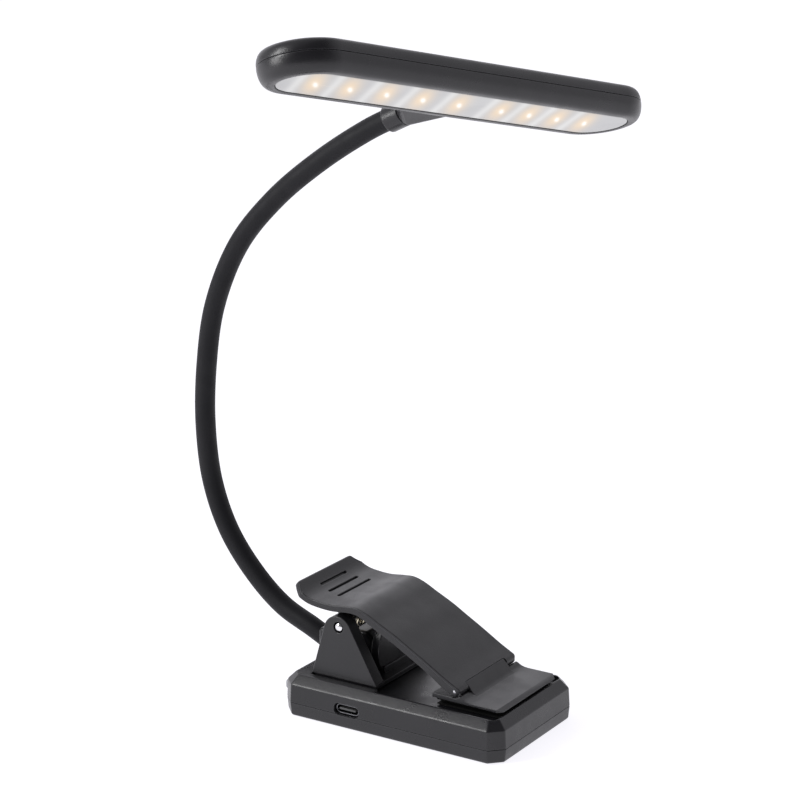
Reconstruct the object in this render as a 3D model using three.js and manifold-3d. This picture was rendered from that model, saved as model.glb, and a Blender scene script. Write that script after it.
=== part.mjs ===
// A rechargeable clip-on reading lamp: a spring clip on a flat battery base, a gooseneck and a long LED head.
// Units are millimetres, +Z is up, +X points from the neck's root towards the jaws, -Y is the charging side.
// The origin is the centre of the base's underside.
import * as THREE from 'three';
import { ConvexGeometry } from 'three/addons/geometries/ConvexGeometry.js';
import * as BufferGeometryUtils from 'three/addons/utils/BufferGeometryUtils.js';
import Module from 'manifold-3d';

const wasm = await Module();
wasm.setup();

// ---------- driving dimensions ----------
const GAP = 0.3; // clearance between neighbouring pieces
const FIT = 0.35; // clearance around a piece in its opening

const BASE_LENGTH = 85;
const BASE_WIDTH = 51;
const BASE_CORNER = 4.4; // 45 degree chamfer of the vertical corners
const BASE_DRAFT = 0.35;
const BASE_FOOT_INSET = 1.2;
const BASE_FOOT_Z = 0.8;
const PARTING_Z = 6.0;
const BEVEL_Z = 11.2;
const BASE_TOP_Z = 14.0;
const BEVEL = 2.8;
const WALL = 1.8;
const FLOOR_TOP_Z = 2.0;

const RECESS_Z = 12.5; // floor of the sunken area under the lever
const RECESS_X = [-7, 38.7];
const RECESS_HALF_WIDTH = 21.7;
const RECESS_CORNER = 2;
const POCKET_CLEARANCE = 0.4; // around the clip bracket, in the pocket that takes it
const RECESS_UNDERSIDE_Z = 11.0;

const PIN_X = -22.8; // lever hinge axis, along Y
const PIN_Z = 32.3;
const PIN_RADIUS = 1.5;
const PIN_HOLE_RADIUS = 2.1;
const EAR_OUTER_Y = 19.2;
const EAR_THICKNESS = 4.8;
const EAR_SKIN = 2.4; // outer plate of the ear; the rest is a rim around its edge
const EAR_RIM = 2.2;
const EAR_TOP_CENTRE = [-23.1, 30.7];
const EAR_TOP_RADIUS = 5.4;
const BRACKET_X = [-33.5, -7.8];
const BRACKET_Z = [12.8, 15.0];
const FOOT_UNDERCUT = 1.3;

const LEVER_HALF_WIDTH = 18.2;
const LEVER_PLATE = 2.3;
const LEVER_SKIRT = 3.1; // depth of the side skirts over the jaw half
const SKIRT_THICKNESS = 2.0;
const HOLLOW_SPAN = [0.3, 0.93]; // where the lever is hollow between its skirts, as fractions of its length
const LUG_Y = [10.6, 12.9];
const LUG_RADIUS = 3.4;
const THUMB_CORNER_X = -38; // where the thumb end's cut corners begin
const THUMB_CORNER_SLOPE = 1.0;

const JAW_PIN_X = 21.6;
const JAW_PIN_Z = 18.8;
const JAW_PIN_RADIUS = 0.8;
const FINGER_RADIUS = 1.95; // the lever's eyes around the jaw pin
const KNUCKLE_RADIUS = 1.45; // the jaw's knuckle between the lever's fingers
const LEVER_LIP_X = 21.95; // front edge of the lever's plate between the fingers
const TONGUE_HALF_WIDTH = 12.1;
const JAW_HALF_WIDTH = 18.4;
const JAW_CORNER = 2;
const JAW_TAIL_X = 13.2;
const JAW_TIP_X = 39.2;
const JAW_UNDERSIDE_Z = 15.15;
const JAW_TOP_Z = 16.15;
const JAW_TAIL_TOP_Z = 16.7;
const UPPER_PAD = { x: [14.3, 38], halfWidth: 17, plateZ: [14.3, 14.85], ribZ: [14.0, 14.5], ribs: 9 };
const LOWER_PAD = { x: [14.3, 38], halfWidth: 17, plateZ: [12.8, 13.3], ribZ: [13.1, 13.6], ribs: 9 };

const NECK_RADIUS = 3.5;
const NECK_BORE = 2.4;
const CORE_RADIUS = 2.1;
const CORE_BORE = 1.5;
const CABLE_RADIUS = 1.1;
const CABLE_HOLE_RADIUS = CABLE_RADIUS + 0.6;
const FLEX_HALF_LENGTH = 2.6; // half the length of a bending section at a neck joint
const FLEX_AT = [0.12, 0.42, 0.7]; // where the neck's bending sections lie, as fractions of its length
const NECK_POINTS = [
  [-37.5, 17.6],
  [-46, 21.6],
  [-58.4, 27.1],
  [-70, 36.6],
  [-80.8, 50.4],
  [-87.4, 67],
  [-89.8, 87],
  [-88.7, 108.4],
  [-84.5, 130],
  [-74, 152],
  [-59, 168.8],
  [-40.5, 183.4],
  [-21, 195.6],
  [-9.5, 201.2],
];

const HEAD_CENTRE = [14.6, -2.9, 206.1]; // middle of the lens face
const HEAD_YAW = 14.7; // degrees: the far end swings towards +X
const HEAD_ROLL = -12.2; // the far end hangs lower
const HEAD_PITCH = 20.4; // the front edge is raised
const LENS_HALF_LENGTH = 72.7;
const LENS_HALF_WIDTH = 10.1;
const RIM = 1.2; // flat rim around the lens
const HEAD_BULGE = 5.2; // how far the casing stands out past the lens at its widest
const HEAD_PARTING_Z = 6.1;
const HEAD_THICKNESS = 10.3;
const HEAD_TOP_OFFSET = 2.4; // outline of the flat top, past the lens outline
const CASING_FULLNESS = 0.75; // below 1 the casing's sides stand more upright
const HEAD_WALL = 1.5;
const LED_POSITIONS = [-56.4, -42.6, -27.6, -12.4, 3.2, 22.0, 34.7, 47.7, 60.8];
const LED_SIZE = 2.8;
const LED_ROW_X = -3;

// ---------- geometry helpers ----------
function toSolid(geometry) {
  const bare = geometry.clone();
  bare.deleteAttribute('normal');
  bare.deleteAttribute('uv');
  const merged = BufferGeometryUtils.mergeVertices(bare, 1e-4);
  const index = merged.index.array;
  const triangles = [];
  for (let i = 0; i < index.length; i += 3) {
    const [a, b, c] = [index[i], index[i + 1], index[i + 2]];
    if (a !== b && b !== c && a !== c) triangles.push(a, b, c);
  }
  const mesh = new wasm.Mesh({
    numProp: 3,
    vertProperties: new Float32Array(merged.attributes.position.array),
    triVerts: new Uint32Array(triangles),
  });
  return new wasm.Manifold(mesh);
}

function fromSolid(solid) {
  const mesh = solid.getMesh();
  const geometry = new THREE.BufferGeometry();
  geometry.setAttribute('position', new THREE.BufferAttribute(new Float32Array(mesh.vertProperties), 3));
  geometry.setIndex(new THREE.BufferAttribute(new Uint32Array(mesh.triVerts), 1));
  return geometry;
}

function combine(first, others, operation) {
  let solid = toSolid(first);
  for (const other of others) solid = solid[operation](toSolid(other));
  return fromSolid(solid);
}

const cut = (first, ...others) => combine(first, others, 'subtract');
const join = (first, ...others) => combine(first, others, 'add');
const common = (first, ...others) => combine(first, others, 'intersect');

function box(x, y, z) {
  const geometry = new THREE.BoxGeometry(x[1] - x[0], y[1] - y[0], z[1] - z[0]);
  return geometry.translate((x[0] + x[1]) / 2, (y[0] + y[1]) / 2, (z[0] + z[1]) / 2);
}

function cylinderZ(radius, x, y, z, sides = 16) {
  const geometry = new THREE.CylinderGeometry(radius, radius, z[1] - z[0], sides);
  return geometry.rotateX(Math.PI / 2).translate(x, y, (z[0] + z[1]) / 2);
}

function cylinderY(radius, x, z, y, sides = 20) {
  const geometry = new THREE.CylinderGeometry(radius, radius, y[1] - y[0], sides);
  return geometry.translate(x, (y[0] + y[1]) / 2, z);
}

// A closed solid through rings of points that all have the same count; the end rings are convex.
function loft(rings) {
  const count = rings[0].length;
  const positions = [];
  const addTriangle = (a, b, c) => positions.push(...a, ...b, ...c);
  for (let i = 0; i + 1 < rings.length; i += 1) {
    for (let j = 0; j < count; j += 1) {
      const k = (j + 1) % count;
      addTriangle(rings[i][j], rings[i][k], rings[i + 1][k]);
      addTriangle(rings[i][j], rings[i + 1][k], rings[i + 1][j]);
    }
  }
  const last = rings[rings.length - 1];
  for (let j = 1; j + 1 < count; j += 1) {
    addTriangle(rings[0][0], rings[0][j + 1], rings[0][j]);
    addTriangle(last[0], last[j], last[j + 1]);
  }
  const geometry = new THREE.BufferGeometry();
  geometry.setAttribute('position', new THREE.Float32BufferAttribute(positions, 3));
  return geometry;
}

// A rectangle with 45 degree corners, centred on the origin, anticlockwise.
function chamferedRectangle(halfX, halfY, corner, z) {
  const [x, y, c] = [halfX, halfY, corner];
  const right = [[x - c, -y], [x, c - y], [x, y - c], [x - c, y]];
  const left = right.map(([px, py]) => [-px, -py]);
  return [...right, ...left].map(([px, py]) => [px, py, z]);
}

// The base's outline drawn in by an inset that keeps every wall parallel.
function baseRing(inset, z) {
  const corner = BASE_CORNER - inset * (2 - Math.SQRT2);
  return chamferedRectangle(BASE_LENGTH / 2 - inset, BASE_WIDTH / 2 - inset, corner, z);
}

// A stadium lying along Y: the outline of everything in the head.
function stadiumRing(halfLength, halfWidth, z, arcSteps = 10) {
  const ring = [];
  for (const end of [1, -1]) {
    for (let i = 0; i <= arcSteps; i += 1) {
      const angle = (Math.PI * i) / arcSteps;
      const x = end * halfWidth * Math.cos(angle);
      const y = end * (halfLength - halfWidth + halfWidth * Math.sin(angle));
      ring.push([x, y, z]);
    }
  }
  return ring;
}

const lensRing = (offset, z) => stadiumRing(LENS_HALF_LENGTH + offset, LENS_HALF_WIDTH + offset, z);

// An outline drawn in X and Z, extruded along Y.
function extrudeY(points, y) {
  const shape = new THREE.Shape(points.map(([px, pz]) => new THREE.Vector2(px, pz)));
  const geometry = new THREE.ExtrudeGeometry(shape, { depth: y[1] - y[0], bevelEnabled: false });
  return geometry.rotateX(Math.PI / 2).translate(0, y[1], 0);
}

// An outline drawn in Y and Z, extruded along X.
function extrudeX(points, x) {
  const shape = new THREE.Shape(points.map(([py, pz]) => new THREE.Vector2(py, pz)));
  const geometry = new THREE.ExtrudeGeometry(shape, { depth: x[1] - x[0], bevelEnabled: false });
  return geometry.rotateX(Math.PI / 2).rotateZ(Math.PI / 2).translate(x[0], 0, 0);
}

// An outline drawn in X and Y, extruded along Z.
function extrudeZ(points, z) {
  const shape = new THREE.Shape(points.map(([px, py]) => new THREE.Vector2(px, py)));
  return new THREE.ExtrudeGeometry(shape, { depth: z[1] - z[0], bevelEnabled: false }).translate(0, 0, z[0]);
}

function arc(cx, cy, radius, fromDegrees, toDegrees, steps) {
  const points = [];
  for (let i = 0; i <= steps; i += 1) {
    const angle = THREE.MathUtils.degToRad(fromDegrees + ((toDegrees - fromDegrees) * i) / steps);
    points.push([cx + radius * Math.cos(angle), cy + radius * Math.sin(angle)]);
  }
  return points;
}

class CurvePart extends THREE.Curve {
  constructor(curve, start, end) {
    super();
    Object.assign(this, { curve, start, end });
  }

  getPoint(t, target = new THREE.Vector3()) {
    return target.copy(this.curve.getPointAt(this.start + (this.end - this.start) * t));
  }
}

// A round tube or rod along a curve.
function sweep(curve, radius, bore, sides, stepLength) {
  const circle = (r) => arc(0, 0, r, 0, 360 - 360 / sides, sides - 1).map((p) => new THREE.Vector2(...p));
  const shape = new THREE.Shape(circle(radius));
  if (bore > 0) shape.holes.push(new THREE.Path(circle(bore)));
  const steps = Math.max(1, Math.round(curve.getLength() / stepLength));
  return new THREE.ExtrudeGeometry(shape, { steps, extrudePath: curve, bevelEnabled: false });
}

const vector = ([x, y, z]) => new THREE.Vector3(x, y, z);

// A smooth line through points that lie in the X-Z plane.
function curveXZ(points) {
  return new THREE.CatmullRomCurve3(points.map(([x, z]) => new THREE.Vector3(x, 0, z)), false, 'centripetal');
}

// ---------- materials ----------
function material(color, roughness, metalness = 0) {
  return new THREE.MeshStandardMaterial({ color, roughness, metalness });
}


const casingPlastic = material(0x2b2b2e, 0.5);
const clipPlastic = material(0x303033, 0.55);
const neckRubber = material(0x26262b, 0.6);
const padRubber = material(0x18181a, 0.9);
const pinSteel = material(0xd0d0d4, 0.25, 1);
const springSteel = material(0xb9b4a6, 0.35, 1);
const screwSteel = material(0x8a8a90, 0.4, 1);
const boardGreen = material(0x1f5a36, 0.5);
const boardWhite = material(0xe8e8e4, 0.5);
const lensPlastic = material(0xf1eee8, 0.4);
const ledPhosphor = material(0xffd9a0, 0.4);
const buttonPlastic = material(0xb4b4b8, 0.5);
const cellFoil = material(0x9fb6c8, 0.4, 0.4);
const copperLead = material(0x8f1d1d, 0.6);

const lamp = new THREE.Group();

function addTo(group, name, geometry, surface) {
  const mesh = new THREE.Mesh(geometry, surface);
  mesh.name = name;
  group.add(mesh);
}

const add = (name, geometry, surface) => addTo(lamp, name, geometry, surface);

// ---------- base ----------
const SCREW_X = 35;
const SCREW_Y = 19.5;
const SCREW_SPOTS = [[-SCREW_X, -SCREW_Y], [-SCREW_X, SCREW_Y], [SCREW_X, -SCREW_Y], [SCREW_X, SCREW_Y]];
const BRACKET_SCREW_SPOTS = [[-30, -11.5], [-30, 11.5]];
const POST_RADIUS = 2.4;
const BOARD_POST_SPOTS = [[-37, -9], [-37, 9], [-8.5, -16], [-8.5, 16]];
const BOARD_POST_RADIUS = 1.6;
const SCREW_SHANK = 1.1;
const SCREW_HEAD = 1.9;
const SCREW_HEAD_Z = [0.6, 1.6];
const BOSS_TOP_Z = 3.3; // top of the bottom shell's screw bosses
const USB_X = -15.8;
const USB_Z = 6.6;
const USB_HALF_WIDTH = 4.47;
const USB_HALF_HEIGHT = 1.63;
const USB_DEPTH = 7.3;
const USB_MOUTH_Y = -25.2;
const USB_SHEET = 0.35;
const USB_TONGUE = [3.2, 0.35]; // half width and half thickness
const BUTTON_Y = [-19.3, -11.7];
const BUTTON_Z = [6.2, 9.4];
const BUTTON_OUT_X = -44.4;
const BUTTON_INNER_X = -39.5;
const BUTTON_FLANGE = 0.9; // how far the flange inside the wall stands out round the cap
const BUTTON_TRAVEL = 0.8;
const CIRCUIT_BOARD = [[-39.2, -6.5], [-20, 20], [3.6, 4.65]];
const BATTERY = [[-3.5, 31.5], [-16, 16], [2.3, 8.9]];
const BATTERY_LEAD_Y = [-5, -3];
const BATTERY_LEAD = [[-3.9, 7.6], [-5.2, 7.5], [-6.8, 6.4], [-7.6, 4.95]]; // in X and Z
const BATTERY_LEAD_RADIUS = 0.45;

// A stadium lying along X in the X-Z plane, extruded along Y: the outline of a USB-C mouth.
function usbOutline(halfWidth, halfHeight, y) {
  const straight = halfWidth - halfHeight;
  const right = arc(USB_X + straight, USB_Z, halfHeight, -90, 90, 6);
  const left = arc(USB_X - straight, USB_Z, halfHeight, 90, 270, 6);
  return extrudeY([...right, ...left], y);
}

const usbOpening = () => usbOutline(USB_HALF_WIDTH + FIT, USB_HALF_HEIGHT + FIT, [-27, -22]);

function buttonOpening() {
  const y = [BUTTON_Y[0] - FIT, BUTTON_Y[1] + FIT];
  return box([-46, -39.5], y, [PARTING_Z - 1, BUTTON_Z[1] + FIT]);
}

function baseBottomShell() {
  const outer = loft([
    baseRing(BASE_FOOT_INSET, 0),
    baseRing(BASE_DRAFT, BASE_FOOT_Z),
    baseRing(0, PARTING_Z - GAP / 2),
  ]);
  const cavity = loft([baseRing(WALL + 0.4, FLOOR_TOP_Z), baseRing(WALL + 0.4, PARTING_Z + 1)]);
  let shell = cut(outer, cavity, usbOpening());
  for (const [x, y] of BOARD_POST_SPOTS) {
    shell = join(shell, cylinderZ(BOARD_POST_RADIUS, x, y, [FLOOR_TOP_Z - 0.5, BOSS_TOP_Z], 12));
  }
  for (const [x, y] of [...SCREW_SPOTS, ...BRACKET_SCREW_SPOTS]) {
    const boss = cylinderZ(POST_RADIUS + 0.2, x, y, [FLOOR_TOP_Z - 0.5, BOSS_TOP_Z], 14);
    const hole = cylinderZ(SCREW_SHANK + 0.3, x, y, [-1, 4], 14);
    const counterbore = cylinderZ(SCREW_HEAD + 0.3, x, y, [-1, SCREW_HEAD_Z[1] + GAP], 14);
    shell = cut(join(shell, boss), hole, counterbore);
  }
  return shell;
}

function baseTopShell() {
  const outer = loft([
    baseRing(0, PARTING_Z + GAP / 2),
    baseRing(BASE_DRAFT, BEVEL_Z),
    baseRing(BASE_DRAFT + BEVEL, BASE_TOP_Z),
  ]);
  const cavity = loft([baseRing(WALL, PARTING_Z - 1), baseRing(WALL + 0.2, RECESS_UNDERSIDE_Z)]);
  const recess = loft([
    chamferedRectangle(RECESS_X[1], RECESS_HALF_WIDTH, RECESS_CORNER, RECESS_Z),
    chamferedRectangle(RECESS_X[1], RECESS_HALF_WIDTH, RECESS_CORNER, BASE_TOP_Z + 1),
  ]);
  const recessFront = common(recess, box([RECESS_X[0], 60], [-40, 40], [RECESS_Z, 20]));
  const pocketX = [BRACKET_X[0] - POCKET_CLEARANCE, BRACKET_X[1] + POCKET_CLEARANCE];
  const pocketHalf = EAR_OUTER_Y + POCKET_CLEARANCE;
  const pocket = box(pocketX, [-pocketHalf, pocketHalf], [RECESS_Z, BASE_TOP_Z + 1]);
  let shell = cut(outer, cavity, recessFront, pocket, usbOpening(), buttonOpening());
  for (const [x, y] of SCREW_SPOTS) {
    shell = join(shell, cylinderZ(POST_RADIUS, x, y, [BOSS_TOP_Z + GAP, RECESS_UNDERSIDE_Z + 0.5], 14));
    shell = cut(shell, cylinderZ(SCREW_SHANK + 0.25, x, y, [0, 9], 14));
  }
  for (const [x, y] of BRACKET_SCREW_SPOTS) {
    shell = cut(shell, cylinderZ(SCREW_SHANK + FIT, x, y, [8, 20], 14));
  }
  // the way for the lamp cable from the bracket down to the board
  return cut(shell, box([-24, -18], [-3, 3], [8, 20]));
}

function screw(x, y, topZ) {
  const head = cylinderZ(SCREW_HEAD, x, y, SCREW_HEAD_Z, 12);
  const shank = cylinderZ(SCREW_SHANK - 0.1, x, y, [SCREW_HEAD_Z[1] - 0.5, topZ], 12);
  const [long, short, depth] = [1.1, 0.2, [0, 1.4]];
  const slotX = box([x - long, x + long], [y - short, y + short], depth);
  const slotY = box([x - short, x + short], [y - long, y + long], depth);
  return cut(join(head, shank), slotX, slotY);
}

// ---------- clip bracket: two ears, the spring stop and the neck's socket ----------
// The ear's outline in X and Z: a wide foot that narrows to a round top.
function earOutline(inset) {
  const [cx, cz] = EAR_TOP_CENTRE;
  const left = BRACKET_X[0] + inset;
  const right = BRACKET_X[1] - inset;
  const foot = BRACKET_Z[1] + (inset > 0 ? inset : -0.5);
  return [[left, foot], [right, foot], ...arc(cx, cz, EAR_TOP_RADIUS - inset, 28, 163, 10)];
}

function ear(side) {
  const outerFace = side * EAR_OUTER_Y;
  const innerFace = side * (EAR_OUTER_Y - EAR_THICKNESS);
  const skinFace = side * (EAR_OUTER_Y - EAR_SKIN);
  const ordered = (a, b) => [Math.min(a, b), Math.max(a, b)];
  const body = extrudeY(earOutline(0), ordered(outerFace, innerFace));
  const pocket = extrudeY(earOutline(EAR_RIM), ordered(skinFace, innerFace - side));
  const boss = common(cylinderY(PIN_HOLE_RADIUS + 1.3, PIN_X, PIN_Z, ordered(outerFace, innerFace)), body);
  return cut(join(cut(body, pocket), boss), cylinderY(PIN_HOLE_RADIUS, PIN_X, PIN_Z, [-30, 30]));
}

const HOUSING_HALF_WIDTH = 6.6;

function neckHousing() {
  // a low block whose rear end is bored for the neck, and a rounded stop plate for the spring in front
  const w = HOUSING_HALF_WIDTH;
  const blockOutline = [
    [-39.5, 14.6],
    [-16, 14.6],
    [-16, 24],
    [-20, 27.2],
    [-31, 27.2],
    [-39.5, 24.6],
  ];
  const block = extrudeY(blockOutline, [-w, w]);
  const plateOutline = [
    [-7.6, 14.2],
    [7.6, 14.2],
    ...arc(0, 22.2, 11, -30, 38, 6),
    ...arc(0, 22.2, 11, 142, 210, 6),
  ];
  const stop = extrudeX(plateOutline, [-15.2, -12.2]);
  const foot = extrudeX([[-8.6, 14.2], [8.6, 14.2], [8.6, 17.2], [-8.6, 17.2]], [-15.5, -11.4]);
  return join(block, box([-18, -13], [-w, w], [14.6, 24]), stop, foot);
}

function clipBracket(neckHole, cableHole) {
  const plate = box(BRACKET_X, [-EAR_OUTER_Y, EAR_OUTER_Y], BRACKET_Z);
  let bracket = join(plate, ear(1), ear(-1), neckHousing());
  // the foot's undercut along both long sides
  for (const side of [1, -1]) {
    const [outer, inner] = [side * (EAR_OUTER_Y + 1), side * (EAR_OUTER_Y - FOOT_UNDERCUT)];
    const lipZ = BRACKET_Z[1] - 0.2;
    const wedge = [
      [outer, lipZ],
      [outer, 11],
      [inner, 11],
      [inner, BRACKET_Z[0] + 0.4],
      [side * EAR_OUTER_Y, lipZ],
    ];
    bracket = cut(bracket, extrudeX(wedge, [-60, 10]));
  }
  for (const [x, y] of BRACKET_SCREW_SPOTS) {
    bracket = cut(bracket, cylinderZ(SCREW_SHANK + 0.2, x, y, [10, 14.5], 14));
  }
  return cut(bracket, neckHole, cableHole, box([-24, -18], [-2, 2], [10, 18]));
}

// ---------- lever ----------
// The top of the lever in X and Z, from the thumb end to the jaw end.
const LEVER_TOP = [
  [-41, 44.2],
  [-38.4, 41.8],
  [-35.2, 40.2],
  [-31, 39.5],
  [-26, 39.3],
  [-20.5, 39.9],
  [-16.5, 40.1],
  [-12.5, 39.0],
  [-7.5, 36.6],
  [-1, 33.5],
  [4.3, 30.5],
  [9.7, 27.5],
  [13.7, 25.15],
  [17.6, 22.85],
  [21.0, 21.06],
];

const leverTop = curveXZ(LEVER_TOP);

// Points along the lever's top, moved down by a depth that may change along it.
function leverLine(depthAt, start, end, steps) {
  const points = [];
  for (let i = 0; i <= steps; i += 1) {
    const u = start + ((end - start) * i) / steps;
    const point = leverTop.getPointAt(u);
    const tangent = leverTop.getTangentAt(u);
    const depth = depthAt(u);
    points.push([point.x + tangent.z * depth, point.z - tangent.x * depth]);
  }
  return points;
}

function skirtDepth(u) {
  const grow = THREE.MathUtils.smoothstep(u, 0.3, 0.52);
  return LEVER_PLATE + (LEVER_SKIRT - LEVER_PLATE) * grow;
}

// The lever seen from above: straight sides, and cut corners at the thumb end.
function leverPlan() {
  const w = LEVER_HALF_WIDTH;
  const rearX = -44;
  const rearHalf = w - THUMB_CORNER_SLOPE * (THUMB_CORNER_X - rearX);
  const frontX = 26;
  const outline = [
    [frontX, -w],
    [frontX, w],
    [THUMB_CORNER_X, w],
    [rearX, rearHalf],
    [rearX, -rearHalf],
    [THUMB_CORNER_X, -w],
  ];
  return extrudeZ(outline, [0, 60]);
}

const bothSides = ([low, high]) => [[low, high], [-high, -low]];

function clipLever() {
  const w = LEVER_HALF_WIDTH;
  const outer = [...leverLine(() => 0, 0, 1, 34), ...leverLine(skirtDepth, 0, 1, 34).reverse()];
  let lever = common(extrudeY(outer, [-w, w]), leverPlan());
  // hollow between the side skirts
  const hollowTop = leverLine(() => LEVER_PLATE, ...HOLLOW_SPAN, 20);
  const hollowBelow = leverLine(() => LEVER_SKIRT + 3, ...HOLLOW_SPAN, 20).reverse();
  lever = cut(lever, extrudeY([...hollowTop, ...hollowBelow], [SKIRT_THICKNESS - w, w - SKIRT_THICKNESS]));
  // lugs that ride on the hinge pin
  const lugRoot = leverLine(() => LEVER_PLATE - 0.6, 0.22, 0.37, 6);
  const lugOutline = [...lugRoot, ...arc(PIN_X, PIN_Z, LUG_RADIUS, 0, -200, 12)];
  for (const y of bothSides(LUG_Y)) lever = join(lever, extrudeY(lugOutline, y));
  // fingers with eyes around the jaw pin
  const arm = [
    [16.5, 21.8],
    [21.0, 21.04],
    [22.6, 20.15],
    [23.2, 18.8],
    [21.6, 16.9],
    [20.4, 17.3],
    [16.4, 19.75],
  ];
  for (const y of bothSides([TONGUE_HALF_WIDTH + GAP, w])) {
    lever = join(lever, cylinderY(FINGER_RADIUS, JAW_PIN_X, JAW_PIN_Z, y), extrudeY(arm, y));
  }
  const knuckleSpace = [-TONGUE_HALF_WIDTH - GAP, TONGUE_HALF_WIDTH + GAP];
  return cut(
    lever,
    cylinderY(KNUCKLE_RADIUS + GAP, JAW_PIN_X, JAW_PIN_Z, knuckleSpace),
    box([LEVER_LIP_X, 30], knuckleSpace, [10, 30]),
    box([19.6, 30], knuckleSpace, [10, JAW_PIN_Z]),
    cylinderY(PIN_RADIUS + 0.15, PIN_X, PIN_Z, [-16, 16]),
    cylinderY(JAW_PIN_RADIUS + 0.1, JAW_PIN_X, JAW_PIN_Z, [-30, 30]),
  );
}

// ---------- jaw ----------
// The jaw's top in X and Z: an S-curve from beside the lever's eyes down to the flat plate.
const JAW_SWELL = [[27.2, 16.25], [26.0, 16.5], [25.1, 16.9], [24.3, 17.5]];
const FINGER_CLEARANCE_X = 23.85; // the swell's rear, in front of the lever's eyes

function jawPlate() {
  const [w, t] = [JAW_HALF_WIDTH, TONGUE_HALF_WIDTH];
  const profile = [
    [JAW_TAIL_X, JAW_UNDERSIDE_Z],
    [JAW_TIP_X, JAW_UNDERSIDE_Z],
    [JAW_TIP_X - 1.6, JAW_TOP_Z],
    [28.6, JAW_TOP_Z],
    ...JAW_SWELL,
    [FINGER_CLEARANCE_X, 17.5],
    [FINGER_CLEARANCE_X, JAW_TAIL_TOP_Z],
    [JAW_TAIL_X, JAW_TAIL_TOP_Z],
  ];
  const plan = [
    [JAW_TAIL_X, -w],
    [JAW_TIP_X - JAW_CORNER, -w],
    [JAW_TIP_X, JAW_CORNER - w],
    [JAW_TIP_X, w - JAW_CORNER],
    [JAW_TIP_X - JAW_CORNER, w],
    [JAW_TAIL_X, w],
  ];
  // the knuckle carries the swell on up to the lever's top
  const knuckle = [
    [20.4, 16],
    [27.2, 16],
    ...JAW_SWELL,
    [24.0, 18.2],
    [23.4, 19.15],
    [22.8, 19.85],
    [LEVER_LIP_X + GAP, 20.35],
    ...arc(JAW_PIN_X, JAW_PIN_Z, KNUCKLE_RADIUS, 63, 215, 8),
  ];
  const plate = common(extrudeY(profile, [-w, w]), extrudeZ(plan, [0, 40]));
  const pinHole = cylinderY(JAW_PIN_RADIUS + 0.05, JAW_PIN_X, JAW_PIN_Z, [-30, 30]);
  return cut(join(plate, extrudeY(knuckle, [-t, t])), pinHole);
}

// A rubber pad with ribs across it.
function ribbedPad({ x, halfWidth, plateZ, ribZ, ribs }) {
  let pad = box(x, [-halfWidth, halfWidth], plateZ);
  const pitch = (x[1] - x[0]) / ribs;
  const ribHalf = 0.3 * pitch;
  for (let i = 0; i < ribs; i += 1) {
    const centre = x[0] + pitch * (i + 0.5);
    pad = join(pad, box([centre - ribHalf, centre + ribHalf], [-halfWidth, halfWidth], ribZ));
  }
  return pad;
}

// ---------- hinge pin and torsion spring ----------
const SPRING_WIRE_RADIUS = 0.5;

function hingePin() {
  const half = EAR_OUTER_Y + 0.1;
  return cylinderY(PIN_RADIUS, PIN_X, PIN_Z, [-half, half], 16);
}

// One leg lies under the lever's thumb end, and the other comes round the front of the lug as a small hook.
function torsionSpring() {
  const coil = 2.6;
  const turns = 9;
  const halfLength = 9.4;
  const stepsPerTurn = 9;
  const top = PIN_Z + coil;
  const points = [[-33.5, halfLength, top + 0.35], [-27, halfLength, top + 0.2]];
  for (let i = 0; i <= turns * stepsPerTurn; i += 1) {
    const angle = Math.PI / 2 - (i / stepsPerTurn) * 2 * Math.PI;
    const y = halfLength - (2 * halfLength * i) / (turns * stepsPerTurn);
    points.push([PIN_X + coil * Math.cos(angle), y, PIN_Z + coil * Math.sin(angle)]);
  }
  points.push([-19.6, -9.7, 35.1], [-17.2, -10.6, 35.0], [-16.6, -12.2, 34.8]);
  points.push([-17.4, -13.4, 34.4], [-18.2, -13.65, 33.0], [-18.0, -13.65, 30.8]);
  const curve = new THREE.CatmullRomCurve3(points.map(vector), false, 'centripetal');
  return sweep(curve, SPRING_WIRE_RADIUS, 0, 6, 1.9);
}

// ---------- gooseneck ----------
const neckCurve = curveXZ(NECK_POINTS);
const neckLength = neckCurve.getLength();
const NECK_STEP = 8;

function neckPart(start, end, radius, bore, sides, step = NECK_STEP) {
  return sweep(new CurvePart(neckCurve, start, end), radius, bore, sides, step);
}

function addNeck() {
  const half = FLEX_HALF_LENGTH / neckLength;
  const trim = GAP / 2 / neckLength;
  const names = ['neck_sleeve_root', 'neck_sleeve_lower', 'neck_sleeve_middle', 'neck_sleeve_upper'];
  const starts = [0, ...FLEX_AT.map((u) => u + half + trim)];
  const ends = [...FLEX_AT.map((u) => u - half - trim), 1 - 0.6 / neckLength];
  names.forEach((name, i) => add(name, neckPart(starts[i], ends[i], NECK_RADIUS, NECK_BORE, 12), neckRubber));
  FLEX_AT.forEach((u, i) => {
    const flex = neckPart(u - half, u + half, NECK_RADIUS, NECK_BORE, 12, 1.8);
    add(`neck_bend_section_${i + 1}`, flex, neckRubber);
  });
  const coreStart = 1.5 / neckLength;
  add('gooseneck_steel_core', neckPart(coreStart, 1 - coreStart, CORE_RADIUS, CORE_BORE, 8), springSteel);
}

// ---------- head frame ----------
const headYaw = new THREE.Group();
headYaw.position.set(...HEAD_CENTRE);
headYaw.rotation.z = THREE.MathUtils.degToRad(-HEAD_YAW);
const headRoll = new THREE.Group();
headRoll.rotation.x = THREE.MathUtils.degToRad(HEAD_ROLL);
const head = new THREE.Group();
head.rotation.y = THREE.MathUtils.degToRad(-HEAD_PITCH);
headYaw.add(headRoll);
headRoll.add(head);
lamp.add(headYaw);
lamp.updateMatrixWorld(true);
const worldToHead = head.matrixWorld.clone().invert();

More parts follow.
